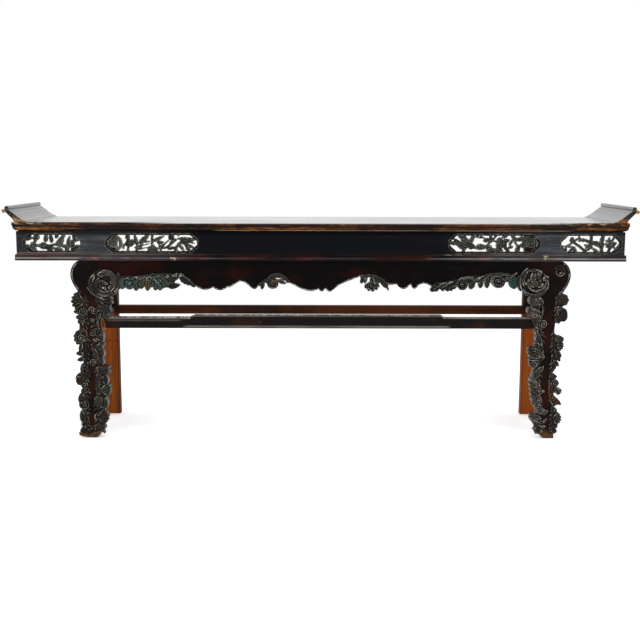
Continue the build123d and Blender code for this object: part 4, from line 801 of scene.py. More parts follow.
def stretcher_lacquer():
    """Front stretcher: worn, with pale bands painted as highlights along its raised middle and its ends."""
    f = Lacquer("stretcher lacquer", STRETCHER_GLOSS)
    red = f.ramp(f.patches, 0.52, 0.74)
    colour = f.ground((0.0078, 0.0059, 0.0054), (0.0270, 0.0115, 0.0068), red)
    colour, rough = f.rubbed(colour, 1.5, 0.24, (0.216, 0.162, 0.101))
    # painted highlights: pale bands along the arrises of the stretcher
    for left, right, low, high, strength in STRETCHER_HIGHLIGHT_BANDS:
        uneven = f.ramp(f.streaks, 0.36, 0.56, 0.35 * strength, strength)
        row = f.times(f.zone(left, right, 0.03, low, high, 0.0015), uneven)
        colour = f.mix(row, colour, BAND_PAINTED_HIGHLIGHT)
    level = f.ramp(f.turned("Z"), 0.3, 0.9, STRETCHER_GLOSS, 0.3 * STRETCHER_GLOSS)
    f.set("Specular IOR Level", level)
    return f.finished(colour, rough)


def edge_lacquer():
    """Moulded edge of the top: dark, rubbed to ochre along its ridges in stretches, with a pale highlight
    painted along its upper arris.
    """
    f = Finish("edge lacquer", specular=0.07, coat_roughness=TOP_COAT_ROUGHNESS)
    wander = f.noise(7.0, 6, (0.35, 1, 1), 0.65)
    streak = f.noise(230.0, 5, (0.045, 1, 1), 0.6)
    fleck = f.noise(120.0, 5, (0.30, 1, 1), 0.6)
    patchy = f.ramp(f.noise(9.0, 6, (0.5, 1, 1), 0.65, (7, 1, 1)), 0.44, 0.60)
    left = f.ramp(f.x, -0.955, -1.05)
    middle = f.times(f.within(f.x, -0.29, 0.00, 0.05), f.ramp(wander, 0.40, 0.56, 0.10, 0.40))
    right = f.within(f.x, 1.06, 1.20, 0.03)
    along = f.most(f.times(left, 0.8), middle, f.times(right, 0.6), f.times(patchy, 0.24))
    crown = f.times(f.within(f.z, 0.8745, 0.8865, 0.0015), along)
    upper = f.most(f.times(left, f.ramp(wander, 0.44, 0.60, 0.1, 1.0)), f.times(patchy, 0.34))
    band = f.times(f.within(f.z, 0.8925, 0.9050, 0.0010), upper)
    wear = f.times(f.most(crown, band), f.ramp(streak, 0.38, 0.56, 0.05, 1.0),
                   f.ramp(f.noise(75.0, 6, (0.30, 1, 1), 0.7, (1, 5, 2)), 0.40, 0.56, 0.30, 1.15),
                   f.ramp(f.y, -0.222, -0.226),
                   f.ramp(f.plus(f.x, f.times(streak, 0.03)), -1.240, -1.222, 0.15, 1.0))
    ochre = f.mix(f.ramp(fleck, 0.40, 0.62), (0.203, 0.0675, 0.0115), (0.499, 0.196, 0.0405))
    dark = f.mix(f.ramp(wander, 0.45, 0.62), (0.0061, 0.0049, 0.0049), (0.0257, 0.0078, 0.0057))
    dark = f.mix(f.ramp(streak, 0.55, 0.70, 0.0, 0.5), dark, (0.0371, 0.0193, 0.0104))
    colour = f.mix(wear, dark, ochre)
    line = f.times(f.zone(-0.40, 1.00, 0.06, 0.8688, 0.8742, 0.0008),
                   f.ramp(wander, 0.38, 0.50, 0.3, 1.0), f.ramp(streak, 0.32, 0.52, 0.35, 1.0))
    colour = f.mix(line, colour, FOOT_OCHRE)
    front = f.ramp(f.y, -0.246, -0.249)
    dusty = f.most(f.times(f.within(f.x, 0.86, 1.16, 0.06), f.ramp(fleck, 0.50, 0.62, 0.0, 0.55)),
                   f.times(f.ramp(f.x, -1.10, -1.15), f.ramp(fleck, 0.46, 0.58, 0.0, 0.7)))
    colour = f.mix(f.times(dusty, front, f.ramp(f.z, 0.896, 0.902)), colour, DUST)
    # painted highlight: a near-white stripe along the upper arris of the edge's front
    crest_highlight = f.times(f.ramp(f.z, 0.8995, 0.9045), front, f.within(f.x, -0.55, 0.85, 0.25), 0.9)
    colour = f.mix(crest_highlight, colour, CREST_PAINTED_HIGHLIGHT)
    rough = f.plus(f.ramp(wander, 0.3, 0.7, 0.20, 0.30), f.times(wear, 0.25))
    up = f.turned("Z")
    level = f.plus(f.ramp(f.z, 0.8740, 0.8790, 0.01, 0.07), f.ramp(up, 0.5, 0.9, 0.0, 0.50))
    f.set("Specular IOR Level", level)
    f.set("Coat Weight", f.ramp(up, 0.80, 0.97, 0.0, TOP_COAT))
    return f.done(colour, rough, f.bump(streak, 0.0007, 0.35, f.bump(wander, 0.003, 0.15)))


def top_lacquer():
    """Polished dark top with fine scratches and cloudy wear."""
    f = Finish("top lacquer", coat=TOP_COAT, coat_roughness=TOP_COAT_ROUGHNESS)
    grain = f.noise(40.0, 6, GRAIN_X, 0.6)
    cloud = f.noise(3.0, 5)
    colour = f.mix(f.ramp(grain, 0.35, 0.7), (0.0149, 0.0089, 0.0068), (0.0409, 0.0208, 0.0127))
    colour = f.mix(f.ramp(cloud, 0.5, 0.75, 0.0, 0.5), colour, (0.0558, 0.0312, 0.0193))
    scratch = f.noise(220.0, 4, (0.03, 1, 1), 0.7)
    rough = f.plus(f.ramp(cloud, 0.3, 0.7, 0.16, 0.30), f.ramp(scratch, 0.62, 0.72, 0.0, 0.12))
    return f.done(colour, rough, f.bump(grain, 0.0005, 0.15, f.bump(scratch, 0.0003, 0.1)))


def flange_lacquer():
    """Up-turned ends: smooth dark inner faces with a painted shadow line under each roll, rubbed and flecked
    front edges, worn lips and rolls.
    """
    f = Finish("flange lacquer", specular=FLANGE_GLOSS, coat=FLANGE_COAT, coat_roughness=0.12)
    wander = f.noise(12.0, 6)
    fleck = f.noise(170.0, 4, (0.6, 1, 1), 0.6)
    colour = f.mix(f.ramp(wander, 0.45, 0.62), (0.0104, 0.0097, 0.0097), (0.0216, 0.0162, 0.0135))
    front = f.ramp(f.turned("Y"), -0.5, -0.8)
    low = f.ramp(f.math("SUBTRACT", f.z, f.times(wander, 0.03)), 0.915, 0.896)
    worn = f.times(front, low, f.ramp(fleck, 0.36, 0.54, 0.2, 1.0))
    colour = f.mix(front, colour, (0.0162, 0.0121, 0.0108))
    flecks = f.times(front, f.ramp(fleck, 0.52, 0.60, 0.0, 0.5))
    colour = f.mix(flecks, colour, (0.203, 0.176, 0.142))
    tone = f.mix(f.ramp(f.x, -0.1, 0.1), (0.400, 0.225, 0.105), (0.270, 0.108, 0.0378))
    colour = f.mix(worn, colour, tone)
    lip = f.times(f.ramp(f.out(), 1.283, 1.289), f.ramp(fleck, 0.34, 0.56, 0.2, 1.0))
    colour = f.mix(lip, colour, LIP_WOOD)
    seam = f.within(f.z, 0.9095, 0.9108, 0.0006)
    # painted shadow: a dark line under the roll; the seam above is a real dark joint
    line = f.times(f.within(f.z, 0.9470, 0.9485, 0.0010), 0.8)
    seam_and_roll_shadow = f.times(f.most(seam, line), f.math("SUBTRACT", 1.0, front))
    colour = f.mix(seam_and_roll_shadow, colour, (0.0030, 0.0023, 0.0023))
    rubbed = f.times(f.edges(0.002), f.ramp(f.noise(22.0, 5), 0.42, 0.60, 0.0, 0.5))
    colour = f.mix(rubbed, colour, (0.0810, 0.0702, 0.0567))
    dull = f.times(f.most(seam_and_roll_shadow, front), 0.3)
    f.set("Specular IOR Level", f.ramp(front, 0.0, 1.0, FLANGE_GLOSS, 0.08))
    f.set("Coat Weight", f.ramp(front, 0.0, 1.0, FLANGE_COAT, 0.0))
    fine = f.noise(70.0, 6, (0.3, 0.15, 1), 0.6)
    return f.done(colour, f.plus(f.ramp(wander, 0.3, 0.7, 0.22, 0.27), dull), f.bump(fine, 0.0002, 0.03))


def brown_stain():
    """Back legs and rails: bare orange-brown wood below, dark above the stretchers."""
    f = Finish("brown stain", specular=0.08)
    grain = f.noise(70.0, 8, (1, 1, 0.05), 0.65)
    along = f.noise(60.0, 8, (0.05, 1, 1), 0.65)
    cloud = f.noise(6.0, 5)
    leg = f.ramp(f.out(), 0.918, 0.923)
    low = f.ramp(f.plus(f.z, f.times(cloud, 0.10)), 0.56, 0.44)
    bright = f.mix(f.ramp(grain, 0.35, 0.65), (0.203, 0.0446, 0.0065), (0.324, 0.0810, 0.0121))
    bright = f.mix(f.ramp(cloud, 0.45, 0.7, 0.0, 0.5), bright, (0.270, 0.0864, 0.0128))
    dark = f.mix(f.ramp(cloud, 0.4, 0.7), (0.0149, 0.0074, 0.0059), (0.0371, 0.0163, 0.0104))
    legs = f.mix(low, dark, bright)
    arris = f.times(f.within(f.out(), 0.924, 0.931, 0.003), 0.75)
    legs = f.mix(arris, legs, (0.0335, 0.0134, 0.0074))
    right = f.times(f.ramp(f.x, 0.0, 0.5), low, 0.5)
    legs = f.mix(right, legs, (0.392, 0.0837, 0.0095))
    rails = f.mix(f.ramp(along, 0.3, 0.7), (0.0405, 0.0115, 0.0049), (0.0945, 0.0270, 0.0092))
    stains = f.ramp(f.noise(3.2, 4, (1, 0.2, 0.2), 0.6, (4, 0, 0)), 0.48, 0.62, 0.0, 0.65)
    rails = f.mix(stains, rails, (0.0149, 0.0081, 0.0065))
    rails = f.mix(f.times(f.within(f.x, 0.02, 0.42, 0.12), 0.6), rails, (0.121, 0.0324, 0.0108))
    colour = f.mix(leg, rails, legs)
    cracks = f.ramp(f.noise(26.0, 4, (0.25, 1, 1.4), 0.6, (5, 2, 1)), 0.645, 0.675)
    cracks = f.times(cracks, leg, f.ramp(f.z, 0.46, 0.40))
    waver = f.plus(f.z, f.times(f.noise(18.0, 4, (1, 1, 0.2)), 0.03))
    for height in (0.452, 0.354, 0.240):
        check = f.times(f.within(waver, height, height + 0.0035, 0.0015), f.ramp(f.x, -0.91, -0.915),
                        f.ramp(f.turned("Y"), -0.4, -0.6), f.ramp(grain, 0.35, 0.60))
        cracks = f.most(cracks, check)
    colour = f.mix(f.times(cracks, 0.7), colour, (0.0297, 0.0089, 0.0045))
    rubbed = f.times(f.edges(0.003), f.ramp(f.noise(22.0, 5), 0.42, 0.60, 0.0, 0.45))
    colour = f.mix(rubbed, colour, (0.252, 0.149, 0.0743))
    normal = f.bump(f.mix(leg, along, grain), 0.0012, 0.4, f.bump(cracks, -0.002, 0.5))
    return f.done(colour, f.ramp(grain, 0.3, 0.7, 0.50, 0.68), normal)


def carved(name, pale=(0.486, 0.446, 0.365), pale_from=0.66, gloss=0.28, dull=0.75,
           stain=(0.0270, 0.0095, 0.0068)):
    """Carving: painted grounds, dark cuts and pale ridges, painted as highlights and as rubbed paint. The
    ridge is in the paint's alpha.
    """
    f = Finish(name, specular=0.10)
    paint = f.new("Attribute", attribute_name="paint").outputs
    ridge = paint["Alpha"]
    fine = f.noise(260.0, 5)
    patch = f.noise(45.0, 4)
    colour = f.mix(f.ramp(patch, 0.36, 0.60, 0.0, dull), paint["Color"], (0.0101, 0.0073, 0.0057))
    colour = f.mix(f.ramp(f.noise(22.0, 3, shift=(2, 3, 4)), 0.48, 0.62, 0.0, dull), colour, stain)
    colour = f.mix(f.ramp(ridge, 0.52, 0.38), colour, (0.0016, 0.0014, 0.0014))
    # painted highlight and rubbed paint: pale on the highest ridges, broken by noise
    rubbed = f.times(f.ramp(ridge, pale_from, pale_from + 0.17), f.ramp(fine, 0.40, 0.62, 0.20, 1.0),
                     f.ramp(patch, 0.36, 0.58, 0.30, 1.0))
    rough = f.ramp(fine, 0.3, 0.7, gloss - 0.06, gloss + 0.14)
    return f.done(f.mix(rubbed, colour, pale), rough, f.bump(fine, 0.0007, 0.4))


def rubbed_and_highlit_bead(name, low, high):
    """Narrow bead whose lacquer is pale in stretches, as rubbed lacquer and as a painted highlight along it.
    """
    f = Finish(name, specular=0.3)
    fine = f.noise(120.0, 5)
    colour = f.mix(f.ramp(fine, 0.35, 0.65), low, high)
    # painted highlight and rubbed lacquer: pale in noisy stretches along the bead
    pale = f.times(f.ramp(f.noise(30.0, 4), 0.40, 0.58), f.ramp(fine, 0.38, 0.60))
    colour = f.mix(pale, colour, (0.486, 0.446, 0.378))
    return f.done(colour, f.ramp(fine, 0.3, 0.7, 0.28, 0.45), f.bump(fine, 0.0006, 0.4))


def plain_wood(name, light, dark, grain):
    """Unpainted wood with its grain."""
    f = Finish(name, specular=0.3)
    lines = f.noise(80.0, 8, grain, 0.65)
    colour = f.mix(f.ramp(lines, 0.35, 0.68), light, dark)
    between = tuple(0.5 * (a + b) for a, b in zip(light, dark))
    colour = f.mix(f.ramp(f.noise(9.0, 4), 0.4, 0.7, 0.0, 0.4), colour, between)
    return f.done(colour, f.ramp(lines, 0.3, 0.7, 0.55, 0.72), f.bump(lines, 0.0010, 0.4))


FRIEZE = frieze_lacquer()
APRON = apron_lacquer()
LEG = leg_lacquer()
# carving finishes; a colour given here is that of the pale ridges, painted highlight and rubbed paint
CARVED = carved("carving paint")
ROUND = carved("roundel paint", (0.580, 0.550, 0.470), gloss=0.22, dull=0.45)
FOLIAGE = carved("foliage paint", (0.750, 0.750, 0.700), dull=0.25, stain=(0.0162, 0.0135, 0.0115))
OPEN = carved("openwork paint", (0.430, 0.450, 0.380), 0.56, dull=0.35, stain=(0.0162, 0.0175, 0.0135))
TRIM = rubbed_and_highlit_bead("bead lacquer", (0.0162, 0.0108, 0.0095), (0.0540, 0.0459, 0.0392))
RIM = rubbed_and_highlit_bead("opening rim", (0.0540, 0.0513, 0.0486), (0.162, 0.151, 0.142))
NODE_FINISH = {
    "top_panel": top_lacquer(),
    "frieze_board": FRIEZE,
    "frieze_moulding": FRIEZE,
    "apron_board": APRON,
    "front_stretcher": stretcher_lacquer(),
    "apron_pins": APRON,
    "front_joint_pegs": LEG,
}
SLOT_FINISH = {
    "edge_lacquer": edge_lacquer(),
    "flange_lacquer": flange_lacquer(),
    "black_lacquer": LEG,
    "carving_paint": CARVED,
    "openwork_paint": OPEN,
    "brown_stain": brown_stain(),
    "bare_wood": plain_wood("batten wood", (0.270, 0.155, 0.0743), (0.121, 0.0607, 0.0297), (1, 0.06, 1)),
    "bamboo": plain_wood("bamboo", (0.567, 0.405, 0.189), (0.351, 0.230, 0.0945), (1, 1, 1)),
}


def paint_nodes():
    """Gives every CAD node its own finish, or that of its material slot."""
    slots = {part["node"]: part["material_slot"] for part in frame["record"]["subparts"]}
    for name, node in frame["nodes"].items():
        finish = NODE_FINISH.get(name) or SLOT_FINISH[slots[name]]
        for place in node.material_slots:
            place.material = finish


# ---------------------------------------------------------------- leg vines, in pixels of the photograph
# a row is a form's kind and what Relief's method of that name takes, with options last
VINE_OUTER_LEFT = [
    ("stem", [(84.4, 298), (84.2, 318), (84.2, 340), (84.6, 361)], 4.6, DIM, dict(lift=-3)),
    ("stem", [(85.6, 412), (85.4, 422), (86.2, 430)], 4.6, DIM, dict(lift=-3)),
    ("frill", [(84.0, 297), (84.8, 310), (84.4, 325), (85.0, 338), (84.8, 352)], 7.0, DIM, dict(lift=0)),
    ("frill", [(85.4, 350), (85.8, 368), (85.6, 384), (85.8, 400), (86.4, 416), (87.4, 430)],
     7.2, DIM, dict(lift=0)),
    ("leaf", 81.2, 326.6, 94, 12, 5.2, DIM),
    ("bud", 80.6, 331.0, 2.6, 3.0, DIM),
    ("stem", [(84.8, 344), (85.2, 352), (85.0, 362)], 3.4, DIM, dict(lift=-1)),
    ("fan", 82.7, 301.2, 12.4, 182, 150, 7),
    ("leaf", 79.3, 305.4, 222, 7, 3.2),
    ("leaf", 77.7, 311.6, 184, 10, 5.6),
    ("curl", 82.1, 311.4, 4.6, dict(start=120)),
    ("bud", 78.3, 317.3, 3.2, 2.4),
    ("bud", 79.3, 321.8, 2.6, 2.4),
    ("fan", 82.3, 337.8, 9.8, 182, 170, 6),
    ("curl", 80.3, 338.0, 4.0, PALE, dict(start=200, hand=-1)),
    ("leaf", 80.1, 348, 250, 8, 4.4),
    ("leaf", 79.3, 353.6, 176, 8.4, 5.0),
    ("leaf", 80.3, 359.6, 188, 8.0, 4.6),
    ("leaf", 81.5, 369.6, 95, 11, 4.0),
    ("bud", 79.5, 379.4, 4.7, 6.4, GREY),
    ("arc", 79.5, 380.0, 4.6, 2.6, 70, 200, PALE, dict(lift=6)),
    ("curl", 83.5, 385.6, 3.0),
    ("bud", 83.3, 391.4, 3.0, 3.6),
    ("leaf", 80.9, 399.5, 104, 13, 5.6, dict(bend=0.12)),
    ("curl", 83.5, 404.8, 5.2, dict(start=100)),
    ("leaf", 82.3, 416.5, 97, 14, 6.6, dict(vein=0.7)),
    ("leaf", 83.3, 430.0, 70, 9.0, 6.6, DIM, dict(veins=3)),
    ("leaf", 82.3, 434.4, -22, 8.4, 4.4, BROWN),
    ("leaf", 87.3, 434.6, 8, 9.6, 5.0, BROWN, dict(veins=3)),
    ("bud", 92.1, 435.2, 4.6, 2.8, BROWN),
    ("leaf", 89.3, 430.4, 40, 8.0, 4.4, DIM),
    ("arc", 84.1, 424.4, 3.6, 1.8, 100, 300, GREY),
]
VINE_INNER_LEFT = [
    ("frill", [(100.4, 294), (100, 310), (97.0, 322), (96.0, 336), (95.8, 350), (96.6, 364),
               (99.2, 376)], 11.5, DIM, dict(lift=-1)),
    ("frill", [(99.4, 372), (99.8, 390), (99.6, 406), (99.4, 420), (98.4, 431)], 12.0, DIM, dict(lift=-1)),
    ("fan", 97.4, 300.2, 14.6, -14, 62, 3, GREY),
    ("leaf", 104.2, 309.6, -18, 14.0, 7.6, GREY, dict(veins=4)),
    ("arc", 91.6, 310.4, 4.0, 2.2, 5, 185),
    ("curl", 93.6, 310.4, 3.4, dict(start=60)),
    ("leaf", 98.6, 316.4, 60, 7, 4.0, PALE),
    ("bud", 91.6, 320.2, 2.3, 2.4, PALE),
    ("stem", [(96.6, 308), (96.4, 318), (98.4, 331)], 2.6, GREY),
    ("leaf", 102.4, 323.8, 96, 13, 5.4, ORANGE, dict(lift=1)),
    ("leaf", 104.8, 315.6, -60, 8, 4.6, TEAL),
    ("curl", 92.0, 333.4, 3.5, dict(start=200)),
    ("stem", [(98.6, 329), (101.2, 335), (100.6, 342)], 3.2, GREY),
    ("bud", 100.8, 335.2, 1.9, 1.9, PALE),
    ("leaf", 96.0, 339.9, 3, 8.4, 3.4, PALE),
    ("leaf", 99.8, 345.2, 18, 8.4, 4.2),
    ("leaf", 95.2, 353.0, -52, 12.5, 4.8),
    ("leaf", 100.8, 352.4, -66, 10, 4.8),
    ("leaf", 100.2, 360.2, -58, 9, 4.6),
    ("curl", 92.8, 362.2, 3.7, dict(start=20)),
    ("leaf", 102.8, 372.0, -6, 13.4, 6.4, GREY),
    ("leaf", 102.4, 368.2, 3, 14.4, 4.6, PALE),
    ("curl", 98.0, 376.2, 3.4, dict(start=90)),
    ("leaf", 104.4, 379.4, 96, 12, 5.6, DIM),
    ("stem", [(97.2, 378), (96.8, 385), (97.6, 393)], 4.6, GREY, dict(groove=0.8)),
    ("fan", 99.4, 390.4, 11.0, 6, 96, 5, GREEN),
    ("leaf", 99.8, 402.6, -46, 15, 10, GREEN, dict(veins=4)),
    ("leaf", 100.6, 404.6, -52, 10, 3.2, PALE),
    ("leaf", 105.0, 403.0, 88, 12, 4.6, GREEN),
    ("fan", 95.8, 417.2, 12.6, 2, 104, 5),
    ("arc", 98.0, 417.0, 4.6, 2.8, 110, 240, PALE),
    ("leaf", 99.6, 427.6, -4, 11.5, 8.4, dict(veins=3)),
    ("leaf", 97.2, 433.4, 30, 9.0, 4.8, BROWN),
]
VINE_OUTER_RIGHT = [
    ("frill", [(557.4, 296), (556.6, 309), (556.0, 322)], 5.6, DIM, dict(lift=0)),
    ("frill", [(553.0, 332), (552.8, 350), (552.4, 366), (550.6, 378), (551.6, 392)],
     6.0, DIM, dict(lift=0)),
    ("frill", [(551.8, 384), (552.2, 400), (552.2, 412), (551.0, 424), (549.8, 433)],
     6.4, DIM, dict(lift=0)),
    ("stem", [(554.6, 336), (555.0, 346), (554.8, 356), (554.0, 368)], 4.0, DIM, dict(lift=-1)),
    ("stem", [(559.6, 292.5), (558.8, 297)], 2.4, PALE),
    ("flower", 562.2, 300.2, 6.6, 8),
    ("leaf", 559.4, 307.6, 20, 6, 3.4),
    ("leaf", 563.2, 315.2, 84, 13.5, 8.2, DIM, dict(tip=0.42)),
    ("leaf", 558.8, 319.4, 70, 9.4, 5.4, DIM),
    ("leaf", 557.6, 311.8, 100, 8, 3.6, GREY),
    ("fan", 555.2, 345.4, 8.6, -8, 96, 5, DIM),
    ("bud", 558.9, 339.4, 4.7, 3.4, PALE),
    ("leaf", 557.6, 353.6, -46, 10.6, 5.4),
    ("leaf", 557.9, 358.4, -58, 8.0, 4.4, DIM),
    ("leaf", 555.8, 363.4, -52, 8.6, 4.6),
    ("leaf", 553.8, 376.8, 6, 6.0, 4.6, DIM),
    ("curl", 554.4, 383.6, 4.2, dict(start=40, hand=-1)),
    ("leaf", 554.4, 388.0, -16, 7, 2.8, PALE),
    ("fan", 553.0, 388.6, 9.6, -32, 58, 4),
    ("leaf", 553.6, 401.6, -24, 12.0, 7.4, DIM),
    ("leaf", 557.4, 402.2, -42, 9.0, 4.6, RED),
    ("leaf", 555.0, 399.0, -20, 7, 3.6, OCHRE),
    ("stem", [(549.2, 383), (549.0, 391), (550.2, 398), (553.6, 404)], 1.9, ORANGE, dict(lift=1, thick=4)),
    ("bud", 554.8, 410.0, 1.9, 1.8),
    ("fan", 551.4, 418.6, 9.8, 0, 112, 6),
    ("leaf", 553.8, 427.4, 26, 8, 4.6),
    ("bud", 553.4, 431.2, 3.2, 2.6),
]
VINE_INNER_RIGHT = [
    ("frill", [(537, 293), (536, 306), (537, 318), (539, 328), (539.4, 342), (538.0, 356), (536.8, 368)],
     10.6, DIM, dict(lift=-1)),
    ("frill", [(537.4, 366), (537.0, 384), (537.6, 402), (538.6, 416), (539.6, 430)],
     11.0, DIM, dict(lift=-1)),
    ("leaf", 535.6, 301.0, 8, 14.2, 8.8, SILVER, dict(vein=0.2, tip=0.4)),
    ("bud", 539.4, 298.4, 1.7, 1.5, PALE, dict(lift=6)),
    ("bud", 541.8, 302.2, 1.5, 2.0, PALE, dict(lift=6)),
    ("leaf", 533.6, 311.6, -12, 14.0, 6.6, SILVER, dict(vein=0.2, tip=0.4)),
    ("leaf", 537.0, 316.8, 42, 9.4, 3.6),
    ("stem", [(540.6, 303), (542.8, 309), (541.2, 316), (538.4, 322)], 2.6),
    ("leaf", 534.8, 323.0, -66, 9, 6.0, DIM),
    ("curl", 542.8, 324.4, 4.3, dict(start=250)),
    ("stem", [(535.6, 326), (537.0, 334), (540.4, 340), (541.6, 348), (542.8, 358)], 2.8),
    ("leaf", 538.4, 341.4, -68, 13, 4.6),
    ("bud", 541.0, 344.4, 1.5, 1.5, PALE, dict(lift=5)),
    ("bud", 542.9, 356.7, 1.4, 1.5, PALE, dict(lift=5)),
    ("fan", 540.0, 349.4, 13.4, 218, 104, 5),
    ("fan", 539.6, 360.4, 11.6, 208, 70, 4, DIM),
    ("arc", 536.0, 348.0, 11.6, 9.6, 232, 312, PALE),
    ("leaf", 537.4, 372.6, 66, 13, 6.6, MAUVE),
    ("leaf", 533.4, 376.2, 96, 9, 4.0, LICHEN),
    ("leaf", 541.6, 369.2, 66, 8, 2.6, PALE),
    ("leaf", 534.8, 383.2, -36, 14.0, 5.2, SILVER, dict(vein=0.2)),
    ("leaf", 534.0, 387.8, -36, 13.0, 4.2, GREEN),
    ("leaf", 534.8, 392.4, -36, 13.0, 5.0, SILVER, dict(vein=0.2)),
    ("leaf", 535.2, 397.4, -36, 12.6, 4.8, MAUVE, dict(vein=0.2)),
    ("leaf", 535.6, 402.4, -38, 12.0, 5.0, SILVER, dict(vein=0.2)),
    ("curl", 538.8, 390.6, 3.7, dict(start=30)),
    ("bud", 542.6, 391.2, 1.6, 1.5, PALE, dict(lift=5)),
    ("curl", 538.6, 400.2, 3.9, dict(start=60, hand=-1)),
    ("leaf", 536.6, 408.0, -48, 9.5, 4.0, SILVER),
    ("leaf", 540.8, 411.0, -8, 9.0, 7.0, SILVER, dict(vein=0.2, tip=0.4)),
    ("leaf", 545.2, 412.6, 52, 6.4, 3.6, PALE),
    ("leaf", 535.0, 417.0, -18, 13.0, 5.4, MAUVE, dict(vein=0.2)),
    ("leaf", 534.6, 421.6, -36, 13.4, 4.8, SILVER, dict(vein=0.2)),
    ("leaf", 537.2, 425.6, -34, 10.6, 4.6),
    ("leaf", 538.4, 430.0, -26, 9.6, 4.2, DIM),
    ("leaf", 536.2, 432.2, -38, 8.6, 2.8, DIM),
    ("leaf", 544.4, 420.8, 58, 6.4, 3.0, PALE),
    ("leaf", 542.4, 427.0, 20, 6, 3.4),
]
ROUNDEL_LEFT = [
    ("bud", 101.6, 283.4, 13.3, 14.4, DIM, dict(lift=-2, thick=5)),
    ("arc", 102.0, 284.0, 14.4, 11.4, 130, 222, GREY),
    ("arc", 102.0, 284.0, 11.6, 8.6, 142, 222, GREY),
    ("arc", 104.4, 279.0, 20.8, 18.0, 206, 262, PALE),
    ("arc", 104.2, 280.6, 16.4, 13.6, 208, 330, PALE),
    ("arc", 104.2, 280.4, 13.0, 10.0, 216, 334, PALE),
    ("leaf", 95.6, 283.6, 62, 13, 5.6, GREY),
    ("leaf", 95.6, 290.4, 150, 8, 4.6, DIM),
    ("arc", 106.2, 279.2, 10.0, 3.6, -34, 142, PALE, dict(lift=4, thick=8, taper=0.3)),
    ("leaf", 101.0, 273.6, 20, 8, 4.6, PALE, dict(lift=6)),
    ("leaf", 101.8, 282.6, -14, 12, 5.4, PALE, dict(lift=3)),
    ("leaf", 102.2, 286.6, -40, 9, 5.0, GREY, dict(lift=3)),
    ("bud", 103.0, 287.6, 1.2, 1.2, PALE, dict(lift=7)),
    ("leaf", 111.2, 286.4, 24, 8, 3.6, PALE, dict(lift=4)),
    ("leaf", 112.2, 293.8, 10, 8, 3.4, GREY),
]
ROUNDEL_RIGHT = [
    ("bud", 534.0, 282.8, 14.4, 14.4, DIM, dict(lift=-2, thick=5)),
    ("arc", 535.2, 281.6, 17.2, 14.6, 122, 208, GREY),
    ("arc", 534.8, 281.0, 13.8, 10.8, 118, 200, GREY),
    ("arc", 534.6, 282.6, 15.6, 11.4, 212, 344, GREY),
    ("arc", 536.0, 281.6, 11.0, 8.2, 214, 356, PALE),
    ("arc", 536.6, 283.6, 12.6, 9.8, -8, 52, GREY),
    ("arc", 531.2, 284.6, 16.4, 12.4, 54, 106, GREY),
    ("bud", 538.8, 273.0, 3.0, 2.6, PALE, dict(lift=5)),
    ("leaf", 523.6, 277.6, 78, 12, 3.6, GREY),
    ("leaf", 531.2, 277.2, 84, 9.4, 3.4, PALE),
    ("leaf", 534.4, 277.2, 84, 9.0, 3.2, PALE),
    ("leaf", 538.8, 279.0, -64, 8, 3.8, DIM),
    ("bud", 528.2, 281.2, 1.6, 2.4, RED, dict(lift=2)),
    ("leaf", 529.0, 285.0, -24, 10, 3.8, PALE),
    ("leaf", 536.6, 284.2, -22, 12, 5.2, PALE, dict(lift=3)),
    ("leaf", 540.4, 285.6, 30, 7, 3.4, MAUVE, dict(lift=4)),
    ("bud", 543.8, 279.0, 1.9, 2.2, PALE, dict(lift=5)),
]
